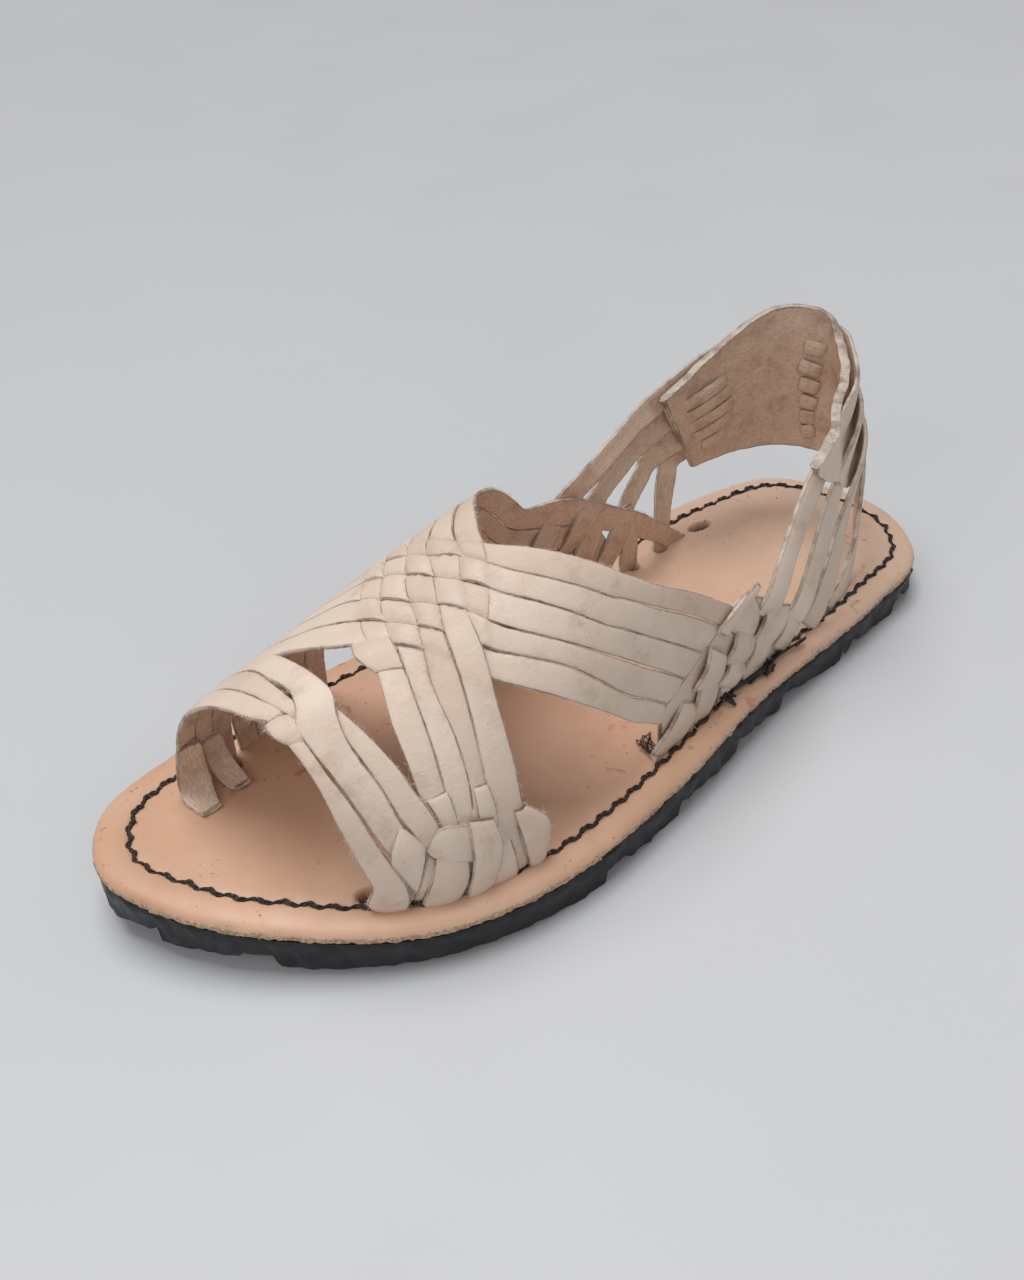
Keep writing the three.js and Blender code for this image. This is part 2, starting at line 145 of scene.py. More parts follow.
def waves(points, size, seed):
    """Soft unevenness, mostly within -1 to 1: twice the mean of plane waves about size millimetres long."""
    rng = np.random.default_rng(seed)
    turn = rng.normal(size=(WAVES, 3))
    turn *= (2 * np.pi / size / np.linalg.norm(turn, axis=1) * rng.uniform(0.7, 1.4, WAVES))[:, None]
    return np.sin(points @ turn.T + rng.uniform(0, 2 * np.pi, WAVES)).mean(axis=-1) * 2


print("smooth(2.5) through 0, 1, 4, 9 gives", float(smooth([0, 1, 2, 3], [0, 1, 4, 9], 2.5)))

# %% [markdown]
# The sole's outline is a closed curve through seventeen points, given as shares of the sole's length and
# width. It is the same curve as the CAD model's, a centripetal Catmull-Rom spline, so the finer sole
# ends exactly where the CAD one does.

# %% The sole's outline
LENGTH = 290.0
BALL_WIDTH = 112.0
OUTLINE = np.array([
    (0.0, 0.07), (0.05, 0.305), (0.16, 0.375), (0.34, 0.422), (0.52, 0.508), (0.68, 0.545),
    (0.8, 0.475), (0.9, 0.29), (0.972, 0.07), (1.0, -0.135), (0.965, -0.325), (0.88, -0.42),
    (0.7, -0.455), (0.5, -0.405), (0.32, -0.375), (0.16, -0.372), (0.04, -0.285),
]) * (LENGTH, BALL_WIDTH)
TOE_ROW, ROW_STEPS = 9, 200


def centripetal(points, closed, at):
    """Catmull-Rom curve whose knots are spaced by the square root of the chord; at runs from 0 to 1."""
    if not closed:
        points = np.vstack([2 * points[0] - points[1], points, 2 * points[-1] - points[-2]])
    count = len(points) if closed else len(points) - 3
    place = np.clip(at, 0, 1 - 1e-9) * count
    row = place.astype(int)
    t = (place - row)[:, None]
    shift = -1 if closed else 0
    p = [points[(row + shift + k) % len(points)] for k in range(4)]
    gap = [np.sqrt(np.linalg.norm(p[k + 1] - p[k], axis=1))[:, None] for k in range(3)]
    before = (p[1] - p[0]) / gap[0] - (p[2] - p[0]) / (gap[0] + gap[1]) + (p[2] - p[1]) / gap[1]
    after = (p[2] - p[1]) / gap[1] - (p[3] - p[1]) / (gap[1] + gap[2]) + (p[3] - p[2]) / gap[2]
    rise = t * t * (3 - 2 * t)
    bend = t * (1 - t) ** 2 * before * gap[1] - t * t * (1 - t) * after * gap[1]
    return p[1] * (1 - rise) + p[2] * rise + bend


rim = centripetal(OUTLINE, True, np.linspace(0, 1, len(OUTLINE) * ROW_STEPS + 1))
toe_at = TOE_ROW * ROW_STEPS
outer_rim, inner_rim = rim[: toe_at + 1], rim[toe_at:][::-1]
MIDDLE = (rim.min(axis=0) + rim.max(axis=0)) / 2
print("outline", np.ptp(rim, axis=0).round(1), "mm, middle", MIDDLE.round(1))

# %% [markdown]
# The sole lies flat under the heel and the ball, rises a little in the waist and springs up at the toe.
# Two heights go with it, the rubber's top and the footbed's top. The places where each rise starts, and
# how far it reaches, are shares of the sole's length.

# %% Heights of the sole
RUBBER = 10.0
FOOTBED = 15.0
TOE_SPRING, TOE_FROM, TOE_REACH = 6.0, 0.77, 0.23
ARCH_LIFT, WAIST_FROM, WAIST_REACH = 1.6, 0.28, 0.27
HEEL_LIFT, HEEL_REACH = 1.2, 0.05


def lift(x):
    """Height of the sole's underside: a parabola at the toe, a sine bump in the waist, a curl at the heel."""
    share = x / LENGTH
    toe = np.clip((share - TOE_FROM) / TOE_REACH, 0, 1) ** 2
    waist = np.sin(np.pi * np.clip((share - WAIST_FROM) / WAIST_REACH, 0, 1)) ** 2
    heel = np.clip((HEEL_REACH - share) / HEEL_REACH, 0, 1) ** 2
    return TOE_SPRING * toe + ARCH_LIFT * waist + HEEL_LIFT * heel


print("lift at toe", float(lift(np.array(LENGTH))), "mm")

# %% [markdown]
# The strips lie on a foot that isn't there. That foot, a shoemaker's last, is a surface of two numbers:
# x along the shoe and the girth angle over it, 0 at the outer foot of the wall, 90 on the ridge and 180 at
# the inner foot. The wall round the heel is a second surface, of the way round and the height.

# %% The last and the heel wall
LAST = np.array([
    # x, outer foot, inner foot, ridge, height of the ridge as a share of INSTEP_HEIGHT
    (60, 33, -26, 4, 1.42), (95, 40, -25, 6, 1.35), (120, 43, -27, 5, 1.26), (145, 46, -31, 3, 1.13),
    (165, 50, -35, 2, 1.0), (185, 53, -38, 2, 0.9), (205, 53, -40, 2, 0.79), (225, 48, -38, 1, 0.7),
    (245, 36, -33, -3, 0.625), (265, 20, -27, -6, 0.5), (285, 2, -22, -10, 0.3),
])
INSTEP_HEIGHT = 68.0
SECTION_POWER = 2.25
DIVE = 0.3
HEEL_PLAN = np.array([
    (150, 45), (121, 42), (96, 37), (72, 30.5), (49, 26.5), (25, 19), (11, 1), (11, -18), (24, -32),
    (50, -37), (78, -33), (104, -29), (130, -29),
], float)
HEEL_LEAN, LEAN_FROM = 0.12, 60.0
PRESSED = np.array([
    # way round, and how far the rim there is pressed inwards
    (0, 0), (0.16, 0), (0.2, 1), (0.27, 4), (0.35, 10), (0.42, 15), (0.47, 14.5), (0.52, 9), (0.56, 3),
    (0.6, 0), (1, 0),
])
PRESSED_FROM, PRESSED_FULL = 38.0, 80.0


def last(x, girth):
    """Rounded section |cos|^(2/p), sin^(2/p) over the feet at x; past a foot the wall goes straight down."""
    outer, inner, ridge, height = (smooth(LAST[:, 0], LAST[:, k], x) for k in range(1, 5))
    turn = np.radians(np.clip(girth, 0, 180))
    foot = np.where(turn < np.pi / 2, outer, inner)
    y = ridge + (foot - ridge) * np.abs(np.cos(turn)) ** (2 / SECTION_POWER)
    over = INSTEP_HEIGHT * height * np.sin(turn) ** (2 / SECTION_POWER)
    dive = DIVE * (np.maximum(-girth, 0) + np.maximum(girth - 180, 0))
    return np.stack([x + 0 * y, y, FOOTBED + lift(x) + over - dive], axis=-1)


def heel_wall(way, z):
    """The plan's point at way (0 outer plait, 1 inner plait), drawn in as z rises, pressed in outside."""
    shape = np.shape(way + 0 * z)
    flat, high = np.ravel(way + 0 * z), np.ravel(z + 0 * way)
    at = centripetal(HEEL_PLAN, False, flat)
    back, ahead = (centripetal(HEEL_PLAN, False, np.clip(flat + step, 0, 1)) for step in (-1e-3, 1e-3))
    run = ahead - back
    run /= np.linalg.norm(run, axis=1)[:, None]
    draw = HEEL_LEAN * (high - LEAN_FROM) * np.sin(np.pi * flat)
    pressed = smooth(PRESSED[:, 0], PRESSED[:, 1], flat) * ramp(high, PRESSED_FROM, PRESSED_FULL)
    x, y = at[:, 0] + run[:, 1] * draw, at[:, 1] - run[:, 0] * draw - pressed
    return np.stack([x.reshape(shape), y.reshape(shape), z + 0 * way], axis=-1)


print("ridge at x=165:", last(np.array(165.0), np.array(90.0)).round(1))

# %% [markdown]
# A strip has thickness, so it needs to know which way is out. The slopes of a surface along its two
# numbers give a direction square to it, and a rough outward direction, away from a line inside the shoe,
# picks the right one of the two sides.

# %% Which way is out
RIDGE_Y = 2.0
SEAT_X, SEAT_Y, SEAT_TURN = 58.0, -5.0, 0.08


def last_out(point):
    """Rough outward direction on the last: away from a line low under the ridge."""
    up = np.maximum(point[..., 2] - FOOTBED, 1)
    return np.stack([0 * point[..., 0], point[..., 1] - RIDGE_Y, up], axis=-1)


def heel_out(point):
    """Rough outward direction on the heel wall: away from the middle of the heel seat."""
    x, y = point[..., 0], point[..., 1]
    return np.stack([np.minimum(x - SEAT_X, 0), y - SEAT_Y - x * SEAT_TURN, 0 * x], axis=-1)


def normal(surface, out, a, b, da=0.05, db=0.05):
    """Unit normal of surface(a, b) from the cross product of its two slopes, turned outwards."""
    first = surface(a + da, b) - surface(a - da, b)
    second = surface(a, b + db) - surface(a, b - db)
    n = np.cross(first, second)
    n /= np.linalg.norm(n, axis=-1, keepdims=True) + 1e-12
    side = np.sum(n * out(surface(a, b)), axis=-1, keepdims=True)
    return n * np.where(side < 0, -1, 1)


print("outward at the back of the heel:", normal(heel_wall, heel_out, np.array(0.5), np.array(50.0)).round(2))

# %% [markdown]
# One helper turns arrays of points and four-cornered faces into a Blender object. It moves the points
# from the shoe's frame into the frame of the CAD model, stores what the materials read as named
# attributes, and says which CAD body the piece belongs to.

# %% From arrays to a Blender object


def add_piece(name, points, quads, material, slot, stands_for=(), sharp=None, **attributes):
    """A mesh object at the origin whose vertices are points (mm, shoe frame) in the CAD frame's metres."""
    spread = (points - (MIDDLE[0], MIDDLE[1], 0)) * MM
    mesh = bpy.data.meshes.new(name)
    mesh.from_pydata(spread.tolist(), [], quads.tolist())
    for key, values in attributes.items():
        kind, field = ("FLOAT_VECTOR", "vector") if np.ndim(values) == 2 else ("FLOAT", "value")
        layer = mesh.attributes.new(key, kind, "POINT")
        layer.data.foreach_set(field, np.ravel(values).astype(np.float32))
    mesh.shade_smooth()
    if sharp is not None:
        mesh.set_sharp_from_angle(angle=np.radians(sharp))
    mesh.materials.append(material)
    piece = bpy.data.objects.new(name, mesh)
    bpy.context.scene.collection.objects.link(piece)
    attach(piece, "root")
    if stands_for:
        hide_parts(*stands_for)
    print(f"{name}: {len(points)} points, {len(quads)} faces, {np.ptp(points, axis=0).round(1)} mm")
    return piece


def facing_out(points, quads):
    """The faces turned so that the volume they enclose is positive."""
    a, b, c, d = (points[quads[:, k]] for k in range(4))
    volume = np.sum(a * np.cross(b, c)) + np.sum(a * np.cross(c, d))
    return quads if volume > 0 else quads[:, ::-1]


def grid_quads(rows, columns, round_rows=False, round_columns=False):
    """Faces between neighbours of a rows by columns grid, closed on itself where asked."""
    i = np.arange(rows if round_rows else rows - 1)[:, None]
    j = np.arange(columns if round_columns else columns - 1)[None, :]
    i2, j2 = (i + 1) % rows, (j + 1) % columns
    corners = [i * columns + j, i2 * columns + j, i2 * columns + j2, i * columns + j2]
    return np.stack(corners, axis=-1).reshape(-1, 4)


print("a grid of 4 by 3 points has", len(grid_quads(4, 3)), "faces")

# %% [markdown]
# Materials are made of nodes. Two short helpers keep them readable: one adds a node and fills its
# inputs, with a value or with another node's output, and one mixes two colours. Patterns are measured in
# millimetres on the object's own coordinates.

# %% Helpers for materials


def linear(red, green, blue):
    """A colour given as 0 to 255 on a screen, as the linear light that a shader works with."""
    c = np.array([red, green, blue]) / 255
    return tuple(np.where(c <= 0.04045, c / 12.92, ((c + 0.055) / 1.055) ** 2.4)) + (1.0,)


class Finish:
    """One material's node tree, with short ways to add nodes to it; self.mm is the place in millimetres."""

    def __init__(self, name):
        self.material = bpy.data.materials.new(name)
        self.material.use_nodes = True
        self.nodes = self.material.node_tree.nodes
        self.links = self.material.node_tree.links
        self.shader = self.nodes["Principled BSDF"]
        object_at = self.nodes.new("ShaderNodeTexCoord").outputs["Object"]
        self.mm = self.node("VectorMath", {"operation": "SCALE"}, {0: object_at, "Scale": 1000.0}).outputs[0]

    def node(self, kind, settings, inputs):
        """A new node; each input gets a value, or a link from another node's output."""
        made = self.nodes.new("ShaderNode" + kind)
        for key, value in settings.items():
            setattr(made, key, value)
        for key, value in inputs.items():
            if isinstance(value, bpy.types.NodeSocket):
                self.links.new(value, made.inputs[key])
            else:
                made.inputs[key].default_value = value
        return made

    def noise(self, size, detail=3.0, at=None, rough=0.55, twist=0.0):
        """Cloudy pattern from 0 to 1 with patches about size millimetres across."""
        shape = {"Scale": 1 / size, "Detail": detail, "Roughness": rough, "Distortion": twist}
        return self.node("TexNoise", {}, {"Vector": at or self.mm, **shape}).outputs[0]

    def cells(self, size):
        """Distance to the nearest of points about size millimetres apart."""
        return self.node("TexVoronoi", {}, {"Vector": self.mm, "Scale": 1 / size}).outputs[0]

    def step(self, value, low, high, to_low=0.0, to_high=1.0):
        """value moved from low..high to to_low..to_high, and held there outside."""
        inputs = {0: value, 1: low, 2: high, 3: to_low, 4: to_high}
        return self.node("MapRange", {"interpolation_type": "SMOOTHSTEP"}, inputs).outputs[0]

    def stretched(self, vector, by):
        """A vector whose three numbers are each multiplied."""
        return self.node("VectorMath", {"operation": "MULTIPLY"}, {0: vector, 1: by}).outputs[0]

    def part(self, vector, number):
        """One of the three numbers of a vector, counted from 0."""
        return self.node("SeparateXYZ", {}, {0: vector}).outputs[number]

    def times(self, a, b):
        """The product of two numbers."""
        return self.node("Math", {"operation": "MULTIPLY"}, {0: a, 1: b}).outputs[0]

    def plus(self, a, b):
        """The sum of two numbers."""
        return self.node("Math", {"operation": "ADD"}, {0: a, 1: b}).outputs[0]

    def mix(self, share, first, second):
        """A colour between two colours: the first at share 0, the second at share 1."""
        return self.node("Mix", {"data_type": "RGBA"}, {0: share, 6: first, 7: second}).outputs[2]

    def read(self, name, output="Fac"):
        """What the mesh stored under a name: a number, or a vector with output "Vector"."""
        return self.node("Attribute", {"attribute_name": name}, {}).outputs[output]

    def finish(self, colour, roughness, height, depth):
        """Colour, roughness and a bump of the given depth in millimetres go to the shader."""
        bump = self.node("Bump", {}, {"Strength": 1.0, "Distance": depth * MM, "Height": height})
        for key, value in (("Base Color", colour), ("Roughness", roughness), ("Normal", bump.outputs[0])):
            self.links.new(value, self.shader.inputs[key])
        print(self.material.name, "has", len(self.nodes), "nodes")
        return self.material


print("middle grey is", round(float(linear(128, 128, 128)[0]), 3), "as light")

# %% [markdown]
# The strips are vegetable-tanned leather: smooth pale grain outside, brown and hairy flesh inside, and
# white fibres along every cut edge. The mesh carries three attributes for this: `route`, millimetres
# along and across the strip; `cut`, 1 at the cut edges; and `flesh`, 1 on the inner side. Where strips
# lie side by side the seam is painted dark, as dirt gathered there and as painted shade between the
# strips, so the lower half of a cut edge is dark.

# %% Strip leather
GRAIN = linear(226, 207, 190), linear(216, 194, 176), linear(204, 178, 158)
FLESH = linear(204, 174, 152), linear(222, 196, 174), linear(176, 142, 118)
# the seam colour is dirt and painted shade between neighbouring strips
CUT_EDGE, SEAM_DIRT_AND_SHADE, GRIME = linear(228, 214, 200), linear(88, 60, 46), linear(160, 128, 106)
SPECK = linear(128, 88, 66)
ALONG, ACROSS = (0.4, 1.0, 1.0), (1.6, 0.22, 1.0)
GRAIN_DEPTH = 0.16


def strip_leather():
    """Grain outside, flesh inside, dirt and painted seam shade, then torn white fibres towards the cut edges."""
    f = Finish("strip_leather")
    route = f.read("route", "Vector")
    own = f.node("TexWhiteNoise", {"noise_dimensions": "1D"}, {"W": f.part(route, 2)}).outputs[0]
    grain = f.mix(f.step(f.noise(28, 4), 0.38, 0.66), GRAIN[0], GRAIN[1])
    grain = f.mix(f.step(own, 0.0, 1.0, 0.0, 0.55), grain, GRAIN[2])
    grime = f.times(f.step(f.noise(11, 7, rough=0.65), 0.52, 0.78), 0.5)
    grain = f.mix(grime, grain, GRIME)
    specks = f.times(f.step(f.noise(1.3, 3, rough=0.6), 0.68, 0.76), f.step(f.noise(16, 2), 0.5, 0.62))
    grain = f.mix(f.times(specks, 0.7), grain, SPECK)
    hairs = f.noise(0.7, 5, at=f.stretched(route, ALONG))
    flesh = f.mix(f.step(hairs, 0.3, 0.7), FLESH[0], FLESH[1])
    flesh = f.mix(f.step(f.noise(7, 5), 0.48, 0.72, 0.0, 0.7), flesh, FLESH[2])
    colour = f.mix(f.read("flesh"), grain, flesh)
    edge = f.plus(f.read("cut"), f.times(f.noise(0.6, 5), 0.9))
    # dark band towards the cut edges: dirt and painted shade in the seams between strips
    dirt_and_shade = f.times(f.step(edge, 0.75, 1.05), f.step(f.noise(9, 4), 0.3, 0.7, 0.3, 0.9))
    colour = f.mix(dirt_and_shade, colour, SEAM_DIRT_AND_SHADE)
    torn = f.times(f.step(edge, 1.05, 1.35), f.step(f.noise(5, 3), 0.36, 0.60, 0.15, 0.7))
    colour = f.mix(torn, colour, CUT_EDGE)
    wrinkles = f.times(f.noise(1.0, 3, at=f.stretched(route, ACROSS)), f.step(f.noise(14, 2), 0.45, 0.65))
    height = f.plus(f.times(f.cells(0.75), 0.4), f.times(wrinkles, 0.9))
    height = f.plus(height, f.times(f.noise(6, 4), 1.0))
    height = f.plus(height, f.times(f.times(hairs, f.read("flesh")), 2.0))
    height = f.plus(height, f.times(f.times(f.noise(0.35, 4), f.read("cut")), 1.6))
    roughness = f.step(f.noise(6, 3), 0.3, 0.7, 0.44, 0.6)
    return f.finish(colour, roughness, height, GRAIN_DEPTH)


leather = strip_leather()

# %% [markdown]
# A strip's section is nearly flat with softly rounded edges: at a place c across it, from -1 to 1, the
# half thickness is (1 - |c|^6)^(1/6). One such section after another makes a tube, and its two ends are
# closed by faces across the section. Rows of sections lie an even step apart along the strip.

# %% A strip's section
SECTION_POINTS, SECTION_ROUND = 18, 6
FINE_STEPS, LEAST_ROWS = 40, 6


def section(count, power):
    """Closed section: place across (-1 to 1) and height (-1 to 1) of count points, top then underside."""
    angle = 2 * np.pi * (np.arange(count) + 0.5) / count
    across = np.cos(angle)
    height = (1 - np.abs(across) ** power) ** (1 / power) * np.sign(np.sin(angle))
    return across, height


def capped_tube(rows, columns):
    """Faces of a tube of rows sections, its two ends closed by faces across the section."""
    sides = grid_quads(rows, columns, round_columns=True)
    k = np.arange(columns // 2 - 1)
    cap = np.stack([k, k + 1, columns - 2 - k, columns - 1 - k], axis=-1)
    return np.vstack([sides, cap[:, ::-1], cap + (rows - 1) * columns])


def lengths(line):
    """Distance along a line of points from its first point to each one."""
    return np.concatenate([[0], np.cumsum(np.linalg.norm(np.diff(line, axis=0), axis=1))])


def evenly(line, step):
    """Places from 0 to rows-1 on a line of points so that they lie step millimetres apart."""
    fine = np.linspace(0, len(line) - 1, FINE_STEPS * len(line))
    length = lengths(smooth(np.arange(len(line)), line, fine))
    count = max(int(length[-1] / step), LEAST_ROWS)
    return np.interp(np.linspace(0, length[-1], count + 1), length, fine), length[-1]


print("a strip's section has", SECTION_POINTS, "points")

# %% [markdown]
# Knife-cut edges wander a little, which is what a small random walk adds to the edge on each side. The
# ends thin out over the first rows. Beside its points each strip stores what the leather reads, and the
# directions at its edges, for the loose fibres that come later.

# %% The mesh of one strip
STRIP_THICK, STRIP_CROWN = 1.4, 0.12
EDGE_WANDER, EDGE_JITTER, WIDEST = 0.028, 0.05, 1.06
END_ROWS, END_THICK = 1.5, 0.55
CUT_FROM, CUT_FULL = 0.86, 0.99


def strip_mesh(place, thick, half_width, order, rows, length, crown):
    """Tube of sections: place(c, h) puts the section point (across c, height h in mm) at every row."""
    across, height = section(SECTION_POINTS, SECTION_ROUND)
    rng = np.random.default_rng(order)
    ragged = np.cumsum(rng.normal(0, EDGE_WANDER, (rows, 2)), axis=0)
    ragged += rng.normal(0, EDGE_JITTER, (rows, 2)) - smooth([0, rows - 1], ragged[[0, -1]], np.arange(rows))
    side = np.where(across > 0, ragged[:, :1], ragged[:, 1:]) / half_width
    end = np.minimum(np.arange(rows), np.arange(rows)[::-1]) / END_ROWS
    shut = np.clip(end, END_THICK, 1)[:, None]
    c = np.clip(across * (1 + side * np.abs(across) ** 3), -WIDEST, WIDEST)
    h = (height * thick / 2) * shut + crown * (1 - across**2)
    points = place(c, h)
    cut = ramp(np.abs(across), CUT_FROM, CUT_FULL) + 0 * c
    cut = np.maximum(cut, 1 - np.clip(end, 0, 1)[:, None])
    along = np.linspace(0, length, rows)[:, None] + 0 * c
    route = np.stack([along, across * half_width + 0 * c, 0 * c + order], axis=-1)
    far = SECTION_POINTS // 2 - 1
    sides = points[:, 0] - points[:, far]
    ups = points[:, far // 2] - points[:, -1 - far // 2]
    flat = points.reshape(-1, 3)
    return {
        "points": flat, "quads": facing_out(flat, capped_tube(rows, SECTION_POINTS)),
        "route": route.reshape(-1, 3), "cut": cut.ravel(), "flesh": ((height < 0) + 0 * c).ravel(),
        "edges": np.concatenate([points[:, 0], points[:, far]]),
        "sides": np.concatenate([sides, -sides]), "ups": np.concatenate([ups, ups]),
    }


print("strips are", STRIP_THICK, "mm thick, their edges wander by", EDGE_WANDER, "mm a row")

# %% [markdown]
# Most strips lie on the last between two edges that were drawn on it. The section is carried along the
# surface between them, so the strip follows the foot's shape across its width too.

# %% A strip laid on a surface


def strip_between(surface, out, left, right, stand, order, thick=STRIP_THICK, step=1.0, crown=STRIP_CROWN):
    """A strip on a surface between two edge routes (rows of a, b).

    stand, in millimetres, says how far it stands out: a number for each row, or a function of the points
    and their rows.
    """
    left, right = np.asarray(left, float), np.asarray(right, float)
    index = np.arange(len(left))
    middle = surface((left[:, 0] + right[:, 0]) / 2, (left[:, 1] + right[:, 1]) / 2)
    at, length = evenly(middle, step)
    low, high = smooth(index, left, at), smooth(index, right, at)
    width = np.linalg.norm(surface(low[:, 0], low[:, 1]) - surface(high[:, 0], high[:, 1]), axis=1)

    def place(c, h):
        share = (c[..., None] + 1) / 2
        ab = low[:, None] * (1 - share) + high[:, None] * share
        a, b = ab[..., 0], ab[..., 1]
        base = surface(a, b)
        rise = stand(base, at) if callable(stand) else smooth(index, np.asarray(stand, float), at)[:, None]
        return base + normal(surface, out, a, b) * (rise + h)[..., None]

    return strip_mesh(place, thick, width.mean() / 2, order, len(at), length, crown)


def on_last(left, right, stand, order, **more):
    """A strip on the last between two edge routes."""
    return strip_between(last, last_out, left, right, stand, order, **more)


trial = on_last([(200, 60), (200, 120)], [(192, 60), (192, 120)], [0, 0], 1)
print("a trial strip over the instep has", len(trial["points"]), "points and", len(trial["quads"]), "faces")

# %% [markdown]
# Strips that hang free, such as those round the heel, follow points in space instead. The points were
# given one by one, so the middle line, the way it faces and its width are each eased by a running mean.
# That takes out small kinks, as the pull in a real strip does.

# %% A strip in free space
EASE_MIDDLE, EASE_FACE, EASE_WIDTH = 9, 18, 12


def eased(values, reach):
    """Each row replaced by the mean of the rows within reach of it; the two end rows stay."""
    reach = min(int(reach / 2), (len(values) - 1) // 2)
    total = np.concatenate([np.zeros((1,) + values.shape[1:]), np.cumsum(values, axis=0)])
    row = np.arange(len(values))
    near = np.minimum(np.minimum(row, row[::-1]), reach)
    return (total[row + near + 1] - total[row - near]) / (2 * near + 1)[:, None]


def strip_in_space(route, out, width, order, thick=STRIP_THICK, step=1.0, crown=STRIP_CROWN):
    """A strip whose middle follows points in space; out is its outward direction at each point."""
    route = np.asarray(route, float)
    at, length = evenly(route, step)
    index = np.arange(len(route))
    middle = eased(smooth(index, route, at), EASE_MIDDLE / step)
    run = np.gradient(middle, axis=0)
    run /= np.linalg.norm(run, axis=1)[:, None]
    face = eased(smooth(index, np.asarray(out, float), at), EASE_FACE / step)
    side = np.cross(face, run)
    side /= np.linalg.norm(side, axis=1)[:, None]
    face = np.cross(run, side)
    widths = np.broadcast_to(np.asarray(width, float), len(route))
    half = eased(smooth(index, widths, at)[:, None], EASE_WIDTH / step) / 2

    def place(c, h):
        return middle[:, None] + side[:, None] * (half * c)[..., None] + face[:, None] * h[..., None]

    return strip_mesh(place, thick, float(half.mean()), order, len(at), length, crown)


print("free strips are eased over", EASE_MIDDLE, "mm")

# %% [markdown]
# Strips that belong together become one object, as they share one leather and never move apart. Their
# arrays are laid end to end, and each strip's face numbers are shifted past the points before it.

# %% Several strips as one piece
fuzzy = []


def add_strips(name, strips, stands_for=()):
    """Several strips as one piece; their edges are kept for the fibres that come later."""
    starts = np.cumsum([0] + [len(s["points"]) for s in strips[:-1]])
    whole = {key: np.concatenate([s[key] for s in strips]) for key in ("points", "route", "cut", "flesh")}
    quads = np.concatenate([s["quads"] + start for s, start in zip(strips, starts)])
    fuzzy.extend(strips)
    return add_piece(name, whole.pop("points"), quads, leather, "strip_leather", stands_for, **whole)


print("strips so far:", len(fuzzy))

# %% [markdown]
# The instep panel is a plain weave of two families of five strips. The climbing family rises from the
# outer front plait over the instep to the inner side of the heel; the falling one comes down from the
# inner side of the toes to the outer side of the heel. Each table row crosses a family and gives, as x
# and girth, its six strip edges from front to back.

# %% The two crossing families
CLIMBING = np.array([
    [(226, 12), (221, 12), (216, 12), (211, 10), (205, -2), (200.5, -2)],
    [(226, 22), (221, 22), (216, 21), (211, 20), (203, 18), (200, 18)],
    [(226, 34), (220, 34), (214, 33), (210, 33), (201.5, 32), (199, 32)],
    [(225, 47), (218, 48), (212, 48), (207, 48), (199, 49), (197, 49)],
    [(223, 62), (215, 64), (210, 64), (203.5, 62), (195, 63), (193, 63)],
    [(218, 78), (211, 79), (205.5, 76), (200, 74), (192.5, 73), (189, 69)],
    [(214, 89), (208, 88), (202, 83), (196, 82), (188, 82), (184, 75)],
    [(211, 95), (205, 94), (199, 90), (191, 90), (182, 90), (179, 83)],
    [(206, 104), (199, 103), (192, 101), (186, 100), (178, 99), (173, 94)],
    [(198, 116), (191, 116), (184, 115), (177, 114), (170, 113), (164, 113)],
    [(187, 131), (180, 131), (173, 131), (166, 131), (159, 131), (152, 131)],
    [(174, 145), (167, 146), (160, 146), (154, 147), (148, 147), (140, 148)],
    [(165, 158), (158, 158), (152, 157), (146, 158), (141, 156), (136, 152.5)],
    [(158, 168), (149, 168), (142, 166), (134, 165.5), (130, 161), (126, 155)],
    [(152, 176), (140, 176), (132, 172), (124, 169), (119, 164.5), (113, 159.5)],
    [(149, 183), (134, 183), (122, 178), (115, 174), (107, 169), (101, 165)],
    [(148, 188), (131, 188), (116, 185), (103, 184), (94, 183), (88, 170)],
], float)
FALLING = np.array([
    [(238, 184), (231, 184), (225, 184), (218, 184), (212, 184), (205, 184)],
    [(239, 150), (232, 151), (225, 152), (218, 153), (211, 153), (204, 154)],
    [(234, 118), (226, 120), (218, 121), (210, 123), (203, 125), (196, 127)],
    [(228, 105), (219, 107), (210, 109), (202, 112), (194, 113), (188, 115)],
    [(221, 93), (213, 97), (205, 98), (198, 103), (190, 104), (184, 104)],
    [(215, 87), (208, 89), (202, 91), (194, 94), (187, 94), (182, 96)],
    [(210, 81), (203, 81), (197, 83), (190, 86), (183, 88), (178, 89)],
    [(204, 70), (199, 73), (193, 76), (186, 79), (180, 81), (175, 84)],
    [(197, 54), (192, 59), (187, 62), (181, 68), (175, 71), (169, 75)],
    [(184, 37), (178, 42), (173, 44), (166, 46), (160, 49), (156, 54)],
    [(165.5, 17.5), (164, 24), (161, 31), (158.5, 37.5), (155.5, 44), (152.5, 48.5)],
    [(157, 11), (154, 15.5), (150.5, 21), (148, 27), (145, 33), (142.5, 37)],
    [(148, 5), (143.5, 7.2), (138, 11), (133.5, 15.5), (129, 20.5), (125, 23.5)],
    [(142, 1.2), (136, 2.6), (130.5, 6.3), (122, 8.7), (117, 12), (112, 15)],
], float)
# the rearmost climbing strip runs further back than the others, to a slot of its own
TOP_CLIMBER = np.vstack([CLIMBING[:-1], [
    [(148, 188), (131, 188), (116, 185), (103, 184), (93, 174), (88, 170)],
    [(148, 188), (131, 188), (116, 185), (103, 184), (77, 179.5), (73, 177)],
    [(148, 188), (131, 188), (116, 185), (103, 184), (62, 186), (57, 183)],
]])
STRIPS = 5
GAP = 0.004


def on_family(rows, along, across):
    """x and girth at row place along and edge place across, cubic along the strips, straight across."""
    cut = smooth(np.arange(len(rows)), rows.reshape(len(rows), -1), along).reshape(-1, STRIPS + 1, 2)
    edge = np.minimum(np.floor(across).astype(int), STRIPS - 1)
    share = (across - edge)[:, None]
    pick = np.arange(len(along))
    return cut[pick, edge] * (1 - share) + cut[pick, edge + 1] * share


print("the families have", len(CLIMBING), "and", len(FALLING), "rows of", STRIPS, "strips")

